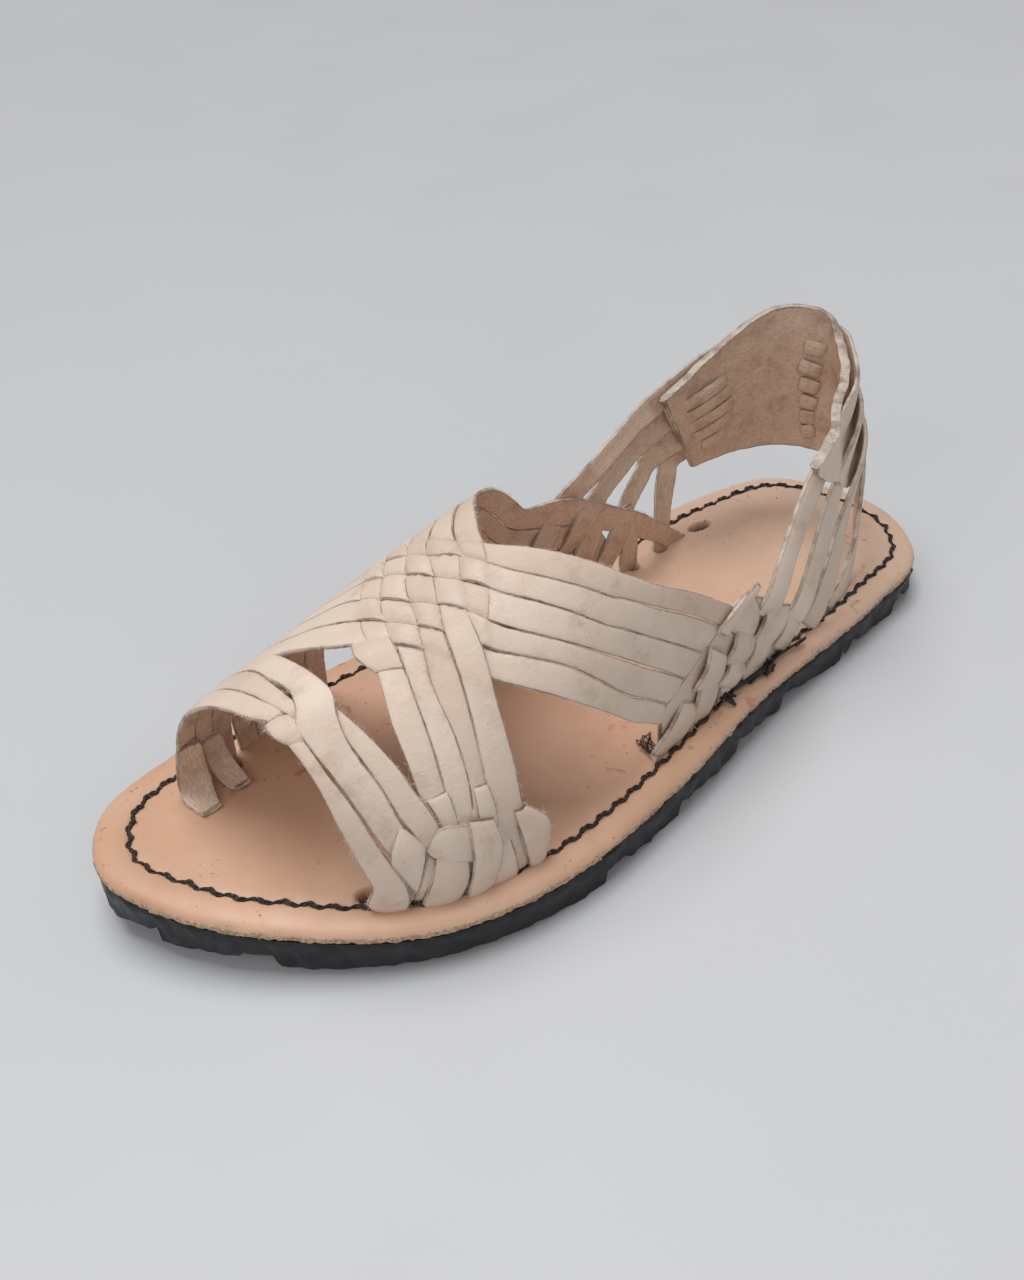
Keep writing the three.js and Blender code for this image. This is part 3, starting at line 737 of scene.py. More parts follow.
# %% [markdown]
# To be woven, a strip has to know where it crosses the other family. Each family's surface is sampled as
# a cloud of points, and every point of a strip finds its nearest sample: that says which strip of the
# other family is there, and how far off it is. A cosine of that place, flattened by tanh, lifts the strip
# over one neighbour and sinks it under the next. This is worked out in five lanes across the strip.

# %% Over and under
WEAVE, WEAVE_REACH = 0.7, 3.0
THREADING = 3.0
LANES = 5
CLOUD_ROWS, CLOUD_COLUMNS = 150, 61
TUCK_SHARE = 0.7


def crossing(points, rows):
    """For points in space, the edge place across the other family, and the distance to that family."""
    places = np.linspace(0, len(rows) - 1, CLOUD_ROWS), np.linspace(0, STRIPS, CLOUD_COLUMNS)
    along, across = np.meshgrid(*places, indexing="ij")
    xg = on_family(rows, along.ravel(), across.ravel())
    cloud = last(xg[:, 0], xg[:, 1]).astype(np.float32)
    flat = points.reshape(-1, 3).astype(np.float32)
    square = (flat**2).sum(axis=1)[:, None] + (cloud**2).sum(axis=1) - 2 * flat @ cloud.T
    nearest = square.argmin(axis=1)
    away = np.sqrt(np.maximum(square[np.arange(len(flat)), nearest], 0))
    return across.ravel()[nearest].reshape(points.shape[:-1]), away.reshape(points.shape[:-1])


def woven(other, number, first_up, special=None, tuck=(0, 0)):
    """How far strip number stands out: + or - WEAVE as it passes over or under each strip of the other."""

    def stand(base, at):
        count = base.shape[1]
        lane_points = np.linspace(0, count // 2 - 1, LANES).round().astype(int)
        place, away = crossing(base[:, lane_points], other)
        over = np.tanh(THREADING * np.cos(np.pi * (place - 0.5))) * (1 if (number % 2 == 0) == first_up else -1)
        if special:
            over = special(place, over)
        over = WEAVE * over * np.exp(-((away / WEAVE_REACH) ** 4))
        across, _ = section(count, SECTION_ROUND)
        lane_at = across[lane_points]
        right = np.clip(np.searchsorted(-lane_at, -across), 1, LANES - 1)
        share = (across - lane_at[right - 1]) / (lane_at[right] - lane_at[right - 1])
        rise = over[:, right - 1] * (1 - share) + over[:, right] * share
        ends = tuck[0] * (1 - ramp(at, at[0], at[0] + TUCK_SHARE)) + tuck[1] * ramp(at, at[-1] - TUCK_SHARE, at[-1])
        return rise + ends[:, None]

    return stand


print("woven strips stand", WEAVE, "mm out or in")

# %% [markdown]
# Two strips break the plain weave: the fourth climber starts on top, and the first falling strip ends
# below the others. The ends named in `tuck` sink under their neighbours, where the real ones go on.

# %% The instep panel
STRIP_ROWS = 60
FIRST_ROW, LAST_ROW, TOP_LAST_ROW = (1.0, 1.0, 1.0, 0.0, 4.6), 15.6, 17.6


def family_strip(rows, number, span, stand, order):
    """The strip between edges number and number+1 of a family, from row span[0] to span[1]."""
    at = np.linspace(span[0], span[1], STRIP_ROWS)
    edges = number + GAP, number + 1 - GAP
    left, right = (on_family(rows, at, np.full(STRIP_ROWS, place)) for place in edges)
    return on_last(left, right, lambda base, k: stand(base, k / (STRIP_ROWS - 1)), order)


def over_first(place, over):
    """Over the first strips of the other family, then plain."""
    return np.where(place < 1.5, 1.0, over)


def under_last(place, over):
    """Plain, then under all strips from the third on."""
    return np.where(place > 2.0, -1.0, over)


panel = []
for k in range(STRIPS):
    rows, end = (TOP_CLIMBER, TOP_LAST_ROW) if k == STRIPS - 1 else (CLIMBING, LAST_ROW)
    rise = woven(FALLING, k, True, over_first if k == 3 else None, (-1.0, 0))
    panel.append(family_strip(rows, k, (FIRST_ROW[k], end), rise, 11 + k))
for k in range(STRIPS):
    rise = woven(CLIMBING, k, False, under_last if k == 0 else None, (0, -1.3))
    panel.append(family_strip(FALLING, k, (0, len(FALLING) - 1), rise, 21 + k))
add_strips("instep_strips", panel, ["upper"])

# %% [markdown]
# Three strips cross the toes. From the inner side they rise side by side; at the outer shoulder the rear
# one folds over the other two and runs on as the middle strip, the front one curls into a small flap, and
# the outer and inner strips come out from under the fold.

# %% Toe band
toe_band = [
    on_last(  # front strip, inner foot to the knot
        [(257, 176), (258, 155), (256, 128), (251, 98), (248, 86), (244.5, 79)],
        [(250.5, 176), (252, 155), (249, 128), (246, 107), (243, 90), (239.5, 80)],
        [0.0, 0, 0.2, 0.3, 0.3, 0.0], 31),
    on_last(  # middle strip
        [(250.5, 184), (252, 155), (249, 128), (246, 107), (243.2, 91), (240.8, 80), (240, 76)],
        [(245.5, 184), (246, 155), (242.3, 127), (238.5, 109), (237.7, 92), (237, 80), (236, 76)],
        [0.0, 0, 0, 0.1, 0.3, 0.3, -0.4], 32),
    on_last(  # rear strip, over the knot, and on down the outer side as the middle one
        [(245.5, 184), (245.8, 155), (242, 127), (238.3, 110), (237.5, 95), (236.5, 86), (238.5, 78), (241, 71),
         (240.7, 58), (239.3, 42), (237.6, 28), (236, 17)],
        [(240, 184), (239, 155), (234, 127), (231, 110), (230, 96), (229, 86), (229, 78), (231.5, 70),
         (233.2, 58), (232.2, 42), (231.5, 30), (229, 22)],
        [0, 0, 0, 0.2, 0.6, 1.1, 1.5, 1.2, 0.4, 0.1, 0.1, -0.5], 33),
    on_last(  # outer strip, from under the flap down to its hole
        [(244.5, 74), (244.5, 66), (244, 52), (244, 38), (243.2, 24), (241.8, 15), (241.2, 9), (243, 3.5),
         (241, -2)],
        [(241, 74), (241.2, 64), (240.9, 52), (239.5, 40), (238, 26), (236.2, 17), (234.3, 9), (234.2, 2),
         (237, -4)],
        [-0.2, 0.3, 0.1, 0, 0.4, 1.2, 1.6, 1.5, 0.3], 34, crown=0.4),
    on_last(  # inner strip, from under the fold to the plait
        [(235, 78), (234.2, 70), (233.2, 58), (232.2, 44), (231.3, 32), (229.5, 24), (228, 17)],
        [(230, 77), (230.5, 73), (229, 62), (227, 48), (226, 38), (224.5, 29), (224, 22)],
        [-0.6, -0.2, 0, 0, 0.4, 0.8, -0.4], 35),
    on_last(  # the small flap at the front of the fold
        [(245.5, 80), (246.4, 76), (246, 71), (243.8, 66)],
        [(240.5, 80), (239.8, 76), (239.8, 71), (241, 66)],
        [-0.5, 0.7, 0.9, 0.2], 36, thick=1.5, crown=0.5, step=0.5),
    on_last(  # a tongue over the front edge of the weave
        [(215.5, 93), (219.2, 86), (218.4, 78)],
        [(208.5, 90), (210, 82), (212.5, 73.5)],
        [-0.9, 0.6, -0.2], 37, thick=1.0, step=0.6),
    strip_in_space(  # the front strip's end turned in over the footbed
        [(255, -26.6, 34), (255.5, -27.2, 28), (256, -27.4, 22), (256.5, -25.8, 18), (257, -21.5, 17),
         (256.5, -17, 17.6)],
        [(0, -1, 0.1), (0, -1, 0), (0, -1, -0.4), (0, -0.7, -1), (0, -0.1, -1), (0, 0.1, -1)],
        [7, 8, 9.5, 10, 8.5, 6], 38, thick=1.8, crown=0.4),
    strip_in_space(  # the middle strip's end
        [(247.5, -30, 30), (247, -30.5, 23.5), (246.5, -28.6, 18.5), (246, -24.5, 17), (245.5, -20, 17.4)],
        [(0, -1, 0), (0, -1, -0.1), (0, -0.8, -0.7), (0, -0.2, -1), (0, 0.1, -1)],
        [6, 7, 7.5, 7, 5], 39, thick=1.8, crown=0.4),
]
add_strips("toe_strips", toe_band)

# %% [markdown]
# At both outer feet the strips are plaited before they go down through the footbed. What shows is a
# field of small rounded scales, each the visible stretch of one strip. A scale is a short wide strip
# with a higher crown whose two ends tuck under its neighbours.

# %% Plaits of the outer side


def scale(left, right, top, order, crown=0.3, tuck=1.2, thick=1.5):
    """A short strip between two edges of three points each, crowned, its ends let down by tuck."""
    return on_last(left, right, [top - tuck, top, top - tuck], order, crown=crown, thick=thick, step=0.6)


# the first strip of each plait lies lower and fills what shows between the scales
front_plait = [
    on_last([(234, 26), (222, 28), (206, 24)], [(236, 0), (222, -3), (202, -3)], [-1.0, -1.0, -1.0], 40),
    scale([(232, 30), (235.5, 22), (237, 14)], [(227.5, 22), (230, 13), (232.5, 3)], 1.2, 41),
    scale([(228, 18), (231, 10), (233.5, 1)], [(226, 16), (229, 8), (232, 0)], 0.4, 42, crown=0.1),
    scale([(226.5, 18), (229, 9), (232.5, -2)], [(219.5, 12), (221, 5), (225, -4)], 1.3, 43, crown=0.7),
    scale([(229, 18), (224.5, 25), (217, 22)], [(227, 14), (223, 13), (218, 9)], 1.1, 44),
    scale([(217.5, 24), (218.9, 12), (222, -3)], [(211.5, 21), (211.2, 12), (214.5, 0)], 1.7, 45),
    scale([(225, 35), (224.2, 29), (223.5, 22)], [(219.3, 35), (219.5, 28), (220, 20)], -0.35, 46, 0.2, 0.5),
    scale([(213.8, 32), (214.5, 26), (215, 18)], [(209.8, 31), (210, 24), (210.5, 16)], -0.3, 47, 0.3, 0.5),
    scale([(206, 19), (205.5, 9), (203.5, -2)], [(202.5, 19), (196.8, 10), (199, -2)], 0.6, 48, crown=0.9),
    scale([(217, 8), (215.5, 2), (215, -5)], [(208, 12), (207.5, 3), (207.5, -5)], 0.3, 49, crown=0.2),
]
rear_plait = [
    on_last([(150, 9), (130, 14), (112, 18), (97, 12)], [(150, -3), (128, -3), (108, -3), (90, -3)],
            [-1.0, -1.0, -1.0, -1.0], 50),
    scale([(124.5, 15.5), (117, 18.3), (106, 19.2)], [(121, 13), (114, 15.8), (105, 17.8)], 1.3, 51, crown=0.3),
    scale([(120.5, 15), (116, 15.5), (108, 18)], [(113, 8), (107.5, 9), (103, 12)], 0.4, 61, crown=0.2),
    scale([(101.5, 13), (104.5, 10), (108.2, 6.5)], [(87.5, 8.2), (91.5, 5.8), (97, 3)], 1.2, 52),
    scale([(88.8, 8), (92, 5), (95.8, 2)], [(78.5, 4), (83, 2), (88, -1)], 1.0, 53),
    scale([(115.5, 12.6), (118.2, 10), (121.4, 7)], [(106.5, 8), (109.5, 5.8), (113.2, 3.6)], 1.3, 54),
    scale([(105.8, 8), (107.8, 5.5), (110.5, 2)], [(96.5, 4.6), (99.6, 2.8), (103.5, 0)], 0.9, 55),
    scale([(118.2, 7.2), (120.8, 5.6), (124.5, 3.6)], [(110.5, 3.8), (113.3, 2.2), (117, -0.5)], 1.1, 56),
    scale([(128, 14), (131.8, 10.8), (136, 7.5)], [(120.8, 9), (124.2, 6.4), (128, 3.7)], 1.6, 57, crown=0.4),
    scale([(131.5, 8.8), (135, 5), (137, 0)], [(123.6, 4.6), (126.2, 2), (130, -2)], 1.1, 58),
    scale([(140, 7), (147, 5), (155, 2)], [(131.5, 2.6), (138, 0.8), (146, -3)], 1.0, 59, crown=0.3),
    scale([(122, 3), (123, 1), (125, -4)], [(112, 2), (113, 0), (114, -4)], 0.2, 60),
    scale([(111, 3), (112.5, 1), (114, -4)], [(97, 1), (101, -1), (104, -5)], 0.2, 62),
]
add_strips("plaits", front_plait + rear_plait)

# %% [markdown]
# Four long strips leave the outer plait, lean inwards as they rise, run round the back outside the heel
# counter and fan out to the inner side. There they are woven with the ends of the climbing family before
# they go down through the footbed. Their routes are points in space on the outer and inner sides, and
# ways round the heel wall at the back.

# %% Heel strip routes
WAYS = np.array([0.33, 0.40, 0.47, 0.56, 0.65, 0.74])
HEEL_STRIPS = [
    # points on the outer side, heights round the back, points on the inner side,
    # front and rear edge of the woven end on the last, and how far it stands out there
    ([(103, 40.2, 35.5), (100, 41.4, 39), (94, 39.2, 44.5), (86, 35.2, 49.5), (75, 30, 55), (63, 25.5, 63)],
     (69.0, 70.5, 72.5, 75.0, 75.0, 69.5),
     [(80, -32.6, 65.5), (91, -29.5, 63.5), (102, -26.5, 61.5), (112, -24.2, 59)],
     [(126, 157), (133, 162.5), (138, 168), (142, 176), (145, 186)],
     [(118, 161), (127, 168), (131, 173), (134, 179), (136, 186)],
     (1.2, -1.3, -1.5, 1.2, 0)),
    ([(86, 38.2, 25), (83, 39.4, 28), (73, 35, 35.2), (64, 30.5, 41), (54.5, 25.5, 48)],
     (58.5, 60.5, 63.0, 66.0, 66.0, 61.0),
     [(78, -32.5, 56.5), (88, -29.6, 56), (97.5, -26.8, 53.5), (105.5, -25.4, 50)],
     [(118, 163), (121.5, 168), (124, 172), (128, 177), (131, 186)],
     [(110.5, 166), (116, 170), (119, 174), (121, 179), (123, 186)],
     (-1.5, -1.0, 1.2, -1.2, 0)),
    ([(76.5, 37.4, 16.8), (73.5, 38, 19.5), (67.5, 36, 24), (57, 31, 30.5), (49, 26.5, 37)],
     (48.5, 51.0, 54.0, 57.0, 57.0, 53.0),
     [(73, -33.6, 47.5), (81, -30.5, 46), (88, -28, 43), (93.5, -26.6, 38)],
     [(103.5, 171), (107, 174.5), (109.5, 179), (111, 187)],
     [(96.5, 174), (100, 177.5), (102.5, 182), (104, 188)],
     (-1.5, -0.9, 0.9, 0)),
    ([(62, 35.5, 13), (51, 32, 18), (42.5, 27.8, 23.5), (36, 23.5, 29.5)],
     (38.5, 41.5, 45.0, 47.5, 47.5, 44.0),
     [(60, -36.6, 42), (66, -34.2, 38.5), (71, -31, 33), (74.3, -28.2, 26.5), (76.2, -26.2, 19.5),
      (77.2, -25.4, 11)],
     [], [], ()),
]
MORE_ENDS = [
    # the same for two ends that come from under the top climbing strip
    ([(113, 163), (115, 168.5), (119, 172.5), (122, 178), (124, 186)],
     [(104, 165), (106, 170), (111, 175.5), (114, 181), (116, 186)], (1.5, -0.9, -1.5, 1.3, 0)),
    ([(101, 167), (97, 172.5), (98, 178), (95, 187)],
     [(92, 168), (91, 174), (91.5, 180), (90, 187)], (1.5, -0.6, -1.2, -0.6)),
]
print(len(HEEL_STRIPS), "strips go round the heel and", len(MORE_ENDS), "more ends are woven in with them")

# %% [markdown]
# A free strip has to be told which way it faces. On the wall that is straight out, with a slight tilt on
# both sides, up on the outer one and down on the inner one. Where its end is woven in, the last gives the
# direction and the two edges give the width.

# %% Heel strips
LEAN_OUTER, LEAN_INNER = 0.22, -0.4
UPRIGHT_TO, LEANING_FROM = 35, 62
HEEL_WIDTHS = np.array([(0, 8.4), (0.3, 7.6), (0.5, 8.9), (0.72, 8.7), (0.85, 6.4), (1, 6.4)])
END_NARROWEST, END_WIDEST = 4, 8.6
HEEL_SECTION = {"thick": 1.7, "crown": 0.3}
BEHIND = 6


def away_from_foot(points):
    """Outward; tilted a little upward on the outer side and downward on the inner one."""
    out = heel_out(points)
    out /= np.linalg.norm(out, axis=1)[:, None]
    lean = np.where(points[:, 1] > 0, LEAN_OUTER, LEAN_INNER) * ramp(points[:, 0], UPRIGHT_TO, LEANING_FROM)
    out[:, 2] = lean * np.abs(out[:, 1])
    return out


def woven_end(front, rear, stand):
    """Middle points, outward directions and widths of an end that lies on the last's inner side."""
    front, rear = np.array(front, float), np.array(rear, float)
    x, girth = ((front + rear) / 2).T
    face = normal(last, last_out, x, girth)
    width = np.linalg.norm(last(front[:, 0], front[:, 1]) - last(rear[:, 0], rear[:, 1]), axis=1)
    return last(x, girth) + face * np.array(stand)[:, None], face, np.clip(width, END_NARROWEST, END_WIDEST)


heel = []
for k, (outer, heights, inner, front, rear, stand) in enumerate(HEEL_STRIPS):
    wall = heel_wall(WAYS, np.array(heights))
    free = np.vstack([outer, wall[wall[:, 0] < outer[-1][0] - BEHIND], inner])
    width = np.interp(np.linspace(0, 1, len(free)), HEEL_WIDTHS[:, 0], HEEL_WIDTHS[:, 1])
    parts = free, away_from_foot(free), width
    if front:
        parts = [np.concatenate(pair) for pair in zip(parts, woven_end(front, rear, stand))]
    heel.append(strip_in_space(*parts, 63 + k, **HEEL_SECTION))
heel += [strip_in_space(*woven_end(*parts), 68 + k, **HEEL_SECTION) for k, parts in enumerate(MORE_ENDS)]
add_strips("heel_strips", heel)

# %% [markdown]
# The heel counter is one thick panel between the strips and the heel, flesh side in. It is the same kind
# of closed sheet as a strip, only taller, with its own upper and lower edge. At its outer end it narrows
# to a tab that passes over the strips. Its rim is rolled out a little and wavy with wear.

# %% Heel counter
COUNTER = np.array([
    # way and height of the upper edge, way and height of the lower edge, distance outside the wall
    (0.236, 71.0, 0.246, 67.0, 1.8), (0.252, 73.5, 0.270, 61.5, 2.3), (0.285, 75.0, 0.305, 56, 2.0),
    (0.33, 75.5, 0.345, 48, -1.0), (0.38, 76, 0.385, 42, -3.0), (0.44, 76.5, 0.44, 38, -3.1),
    (0.5, 78, 0.5, 36, -3.1), (0.555, 81.5, 0.545, 35.5, -3.1), (0.605, 84.5, 0.60, 35, -3.1),
    (0.66, 84, 0.65, 35, -3.1), (0.705, 79.5, 0.69, 35, -3.1), (0.745, 74, 0.725, 35.5, -3.1),
    (0.785, 70.5, 0.752, 35.8, -3.1), (0.825, 68.5, 0.772, 36, -3.1),
])
COUNTER_THICK, COUNTER_ROUND = 2.2, 24
COUNTER_ROWS, COUNTER_POINTS = 170, 80
COUNTER_ROUTE, COUNTER_ORDER = 330, 71
ROLLED_OUT, ROLLED_DOWN = 0.5, 1.8
RIM_FROM, RIM_FULL, RIM_SHOWS = 0.965, 0.995, 0.85
WALL_STEP = (0.002, 0.1)


def counter_sheet():
    """Closed sheet between the two edges, rounded at its rim."""
    at = np.linspace(0, len(COUNTER) - 1, COUNTER_ROWS)
    upper_way, upper, lower_way, lower, stand = smooth(np.arange(len(COUNTER)), COUNTER, at).T[:, :, None]
    across, height = section(COUNTER_POINTS, COUNTER_ROUND)
    share = (across + 1) / 2
    way = lower_way * (1 - share) + upper_way * share
    z = lower * (1 - share) + upper * share + 0 * way
    end = np.minimum(np.arange(COUNTER_ROWS), np.arange(COUNTER_ROWS)[::-1])[:, None]
    surface = heel_wall(way, z)
    rolled = ROLLED_OUT * np.exp(-(((upper - z) / ROLLED_DOWN) ** 2))
    lumps = waves(surface, 14, 5) * 0.35 + waves(surface, 5, 6) * 0.12
    h = height * (COUNTER_THICK / 2 * np.clip(end / 2, 0.45, 1) + rolled) + stand + lumps
    points = surface + normal(heel_wall, heel_out, way, z, *WALL_STEP) * h[..., None]
    points[..., 2] += waves(surface, 6, 7) * 0.25 * (np.abs(across) > 0.97)
    flat = points.reshape(-1, 3)
    marks = {
        "route": np.stack([way * COUNTER_ROUTE, z, 0 * z + COUNTER_ORDER], axis=-1).reshape(-1, 3),
        "cut": (np.maximum(ramp(np.abs(across), RIM_FROM, RIM_FULL) + 0 * z, end < 2) * RIM_SHOWS).ravel(),
        "flesh": ((height < 0) + 0 * z).ravel(),
    }
    return flat, facing_out(flat, capped_tube(COUNTER_ROWS, COUNTER_POINTS)), marks


points, quads, marks = counter_sheet()
add_piece("counter", points, quads, leather, "counter_leather", ["heel_counter"], **marks)

# %% [markdown]
# Inside the counter two rows of short bars show where strips were drawn through slits in it. Each bar
# comes out of one slit, crosses a little of the panel and goes into the next, so its ends are sunk.

# %% Bars inside the counter
BAR_TOP, BAR_SAG, BAR_SUNK, BAR_WIDTH, REAR_BAR_WIDTH = -5.3, 0.4, -3.6, 4.4, 5.0


def inside_bar(start, end, order, width):
    """A short bar on the counter's inner face between two places (way, height), its ends sunk in slits."""
    way = np.linspace(start[0], end[0], 5)
    z = np.linspace(start[1], end[1], 5)
    depth = np.array([BAR_SUNK, BAR_TOP, BAR_TOP - BAR_SAG, BAR_TOP, BAR_SUNK])
    face = normal(heel_wall, heel_out, way, z, *WALL_STEP)
    return strip_in_space(heel_wall(way, z) + face * depth[:, None], face, width, order, step=0.5, crown=-0.3)


INNER_BARS = [(0.790, 61.5, 0.722, 64.0), (0.790, 56.8, 0.716, 59.6), (0.782, 52.2, 0.712, 55.0),
              (0.773, 47.6, 0.714, 50.6), (0.760, 43.2, 0.722, 46.0)]
REAR_BARS = [(0.607, 71.5, 0.560, 70.2), (0.612, 64.8, 0.563, 63.0), (0.608, 58.6, 0.564, 57.2),
             (0.603, 52.6, 0.563, 51.6), (0.598, 46.6, 0.563, 47.0), (0.588, 41.2, 0.562, 42.6)]
bars = [inside_bar(ends[:2], ends[2:], 81 + k, BAR_WIDTH) for k, ends in enumerate(INNER_BARS)]
bars += [inside_bar(ends[:2], ends[2:], 91 + k, REAR_BAR_WIDTH) for k, ends in enumerate(REAR_BARS)]
add_strips("counter_bars", bars)

# %% [markdown]
# Footbed and rubber have the same plan, so both use one set of rings: the outline, drawn inwards along
# its own normals near the rim, and then towards a spine down the middle of the sole. A station on the
# outer side and one on the inner side share their point on the spine, so the two halves close there.

# %% Rings of the sole
STATIONS = 430
SPINE_SHARE = 0.74


def by_length(line, count):
    """count points spread evenly along a line of points."""
    run = lengths(line)
    at = np.linspace(0, run[-1], count)
    return np.column_stack([np.interp(at, run, line[:, 0]), np.interp(at, run, line[:, 1])])


outer_side, inner_side = by_length(outer_rim, STATIONS), by_length(inner_rim, STATIONS)
loop = np.vstack([outer_side, inner_side[-2:0:-1]])
middle_line = (outer_side + inner_side) / 2
spine_half = (middle_line - (LENGTH / 2, 0)) * (SPINE_SHARE, 1) + (LENGTH / 2, 0)
spine_half[:, 1] = np.interp(spine_half[:, 0], middle_line[:, 0], middle_line[:, 1])
spine = np.vstack([spine_half, spine_half[-2:0:-1]])
run = np.roll(loop, -1, axis=0) - np.roll(loop, 1, axis=0)
inward = np.column_stack([run[:, 1], -run[:, 0]]) / np.linalg.norm(run, axis=1)[:, None]
inward *= np.sign(np.sum(inward * (spine - loop), axis=1))[:, None]


def ring(inset):
    """The outline drawn in by inset millimetres (a number, or one for each point)."""
    return loop + inward * np.reshape(inset, (-1, 1))


def towards_spine(start, share):
    """A ring part of the way from the ring at inset start to the spine."""
    return ring(start) * (1 - share) + spine * share


print("loop of", len(loop), "points,", round(float(lengths(loop)[-1]), 1), "mm round")

# %% [markdown]
# Each sole piece is one closed surface: rings from the spine below, out round the rim and back to the
# spine on top. Where the two halves meet on the spine their points are merged, and the number of open
# edges that is printed says whether the surface is closed.

# %% From rings to a closed piece


def add_sole_piece(name, rings, heights, material, slot, stands_for, change, attributes, **more):
    """One closed piece from rings and their heights; change moves its points, attributes marks them."""
    plan = np.stack(rings)
    z = lift(plan[..., 0]) + np.asarray(heights).reshape(len(rings), -1)
    points = change(np.concatenate([plan, z[..., None]], axis=-1))
    flat = points.reshape(-1, 3)
    quads = facing_out(flat, grid_quads(len(rings), len(loop), round_columns=True))
    marks = {key: value.ravel() for key, value in attributes(points).items()}
    piece = add_piece(name, flat, quads, material, slot, stands_for, **more, **marks)
    work = bmesh.new()
    work.from_mesh(piece.data)
    bmesh.ops.remove_doubles(work, verts=work.verts, dist=1e-6)
    open_edges = sum(not edge.is_manifold for edge in work.edges)
    work.to_mesh(piece.data)
    work.free()
    print(name, "has", open_edges, "open edges")


print("the spine runs from x =", spine[:, 0].min().round(1), "to", spine[:, 0].max().round(1), "mm")

# %% [markdown]
# The footbed is thick tan leather. Its top rounds over at the rim; lower down the cut shows as a rough,
# fibrous band. Small brown specks and a few stains lie in the grain, and the strips' holes are pressed
# into it. The attribute `rim` runs from 0 on top to 1 in the rough band.

# %% Footbed leather
TAN = linear(216, 176, 148), linear(204, 160, 130), linear(190, 146, 118)
# SHADED is painted shade, with some dirt, under the instep panel
HEEL_PALE, SHADED = linear(208, 180, 158), linear(150, 104, 78)
# the hole colour is painted shade inside the strips' slots
SPOT, STAIN, HOLE_SHADE = linear(104, 58, 36), linear(150, 92, 56), linear(54, 30, 20)
BAND = linear(164, 122, 92), linear(222, 192, 160), linear(94, 66, 46)
FOOTBED_GRAIN = 0.14


def footbed_leather():
    """Tan grain, paler at the heel, with spots, stains, painted shade under the panel, a rough band at the rim and
    holes painted dark as shade.
    """
    f = Finish("footbed_leather")
    tan = f.mix(f.step(f.noise(45, 3), 0.35, 0.68), TAN[0], TAN[1])
    back = f.step(f.part(f.mm, 0), -110.0, -20.0, 0.75, 0.0)
    tan = f.mix(back, tan, HEEL_PALE)
    tan = f.mix(f.step(f.noise(17, 5, rough=0.6), 0.5, 0.8, 0.0, 0.5), tan, TAN[2])
    specks = f.times(f.step(f.noise(1.5, 2), 0.68, 0.74), f.step(f.noise(20, 2), 0.48, 0.58))
    tan = f.mix(f.times(specks, 0.9), tan, SPOT)
    stains = f.times(f.step(f.noise(6, 4, twist=0.6), 0.62, 0.70), f.step(f.noise(50, 1), 0.5, 0.6))
    tan = f.mix(f.times(stains, 0.5), tan, STAIN)
    # painted shade, with some dirt, on the footbed under the instep panel
    tan = f.mix(f.times(f.read("shade"), 0.45), tan, SHADED)
    fibre = f.noise(0.9, 6, rough=0.7)
    band = f.mix(f.step(fibre, 0.35, 0.65), BAND[0], BAND[1])
    band = f.mix(f.step(f.noise(0.6, 3), 0.62, 0.72), band, BAND[2])
    edge = f.step(f.plus(f.read("rim"), f.times(f.noise(1.4, 4), 0.5)), 0.75, 1.05)
    colour = f.mix(edge, tan, band)
    # the slots are painted dark as the shade inside them
    colour = f.mix(f.read("hole"), colour, HOLE_SHADE)
    height = f.plus(f.times(f.noise(0.5, 4), 0.4), f.times(f.times(fibre, edge), 3.0))
    height = f.plus(height, f.times(f.noise(7, 4), 1.0))
    roughness = f.step(f.noise(8, 3), 0.3, 0.7, 0.42, 0.58)
    return f.finish(colour, roughness, height, FOOTBED_GRAIN)


tan_leather = footbed_leather()

# %% [markdown]
# The footbed is one thick piece of leather, cut by hand and pared at its rim. Its rings follow the rim's
# profile, then a shallow groove that the seam is pulled into. The seam keeps a little further from the
# rim at the toe and on the inner side, which a running mean turns into one smooth line.

# %% Profile of the footbed
SEAM_EASE = 41
is_outer = np.arange(len(loop)) < STATIONS
outer_inset = 7.4 + 1.8 * ramp(loop[:, 0], 215, 285)
inner_inset = 8.4 + 1.2 * ramp(loop[:, 0], 130, 250) - 1.0 * ramp(-loop[:, 0], -50, 0)
stitch_inset = np.tile(np.where(is_outer, outer_inset, inner_inset), 3)
stitch_inset = np.convolve(stitch_inset, np.ones(SEAM_EASE) / SEAM_EASE, "same")[len(loop) : 2 * len(loop)]
FOOTBED_BOTTOM = RUBBER + 0.3
RIM_PROFILE = np.array([
    # inset, height under the footbed's top, rim
    (0.9, -4.7, 1.0), (0.3, -4.4, 1.0), (0.0, -3.7, 1.0), (0.0, -2.9, 0.85), (0.3, -2.1, 0.5), (0.9, -1.35, 0.2),
    (1.8, -0.8, 0.05), (3.0, -0.4, 0.0), (4.4, -0.15, 0.0), (5.6, -0.03, 0.0),
])
GROOVE_OUT = 4.0
GROOVE = [(-1.3, 0.0), (-0.6, -0.15), (0.0, -0.55), (0.6, -0.15), (1.3, 0.0), (GROOVE_OUT, 0.0)]
print("the seam runs", stitch_inset.min().round(1), "to", stitch_inset.max().round(1), "mm inside the rim")

# %% [markdown]
# Inside the groove comes the open middle, which feet have worn a little uneven. The holes for the strip
# ends are pushed down into the same surface, so it stays closed.

# %% Footbed
HOLES = np.array([
    # x, y, half length, half width, turn in degrees
    (240.3, 33.6, 3.4, 2.0, -26), (92.0, -24.0, 2.6, 2.2, 0), (77.5, -25.5, 2.4, 2.0, 0),
    (57.0, -26.0, 4.6, 2.0, -8), (243.5, -30.0, 3.5, 2.4, 60),
])
HOLE_DEPTH = 4.2
# where the painted shade under the instep panel lies, and how far it reaches
SHADE_AT, SHADE_SIZE = (165, 10), (45, 26)
UNDER_FROM = 10.0


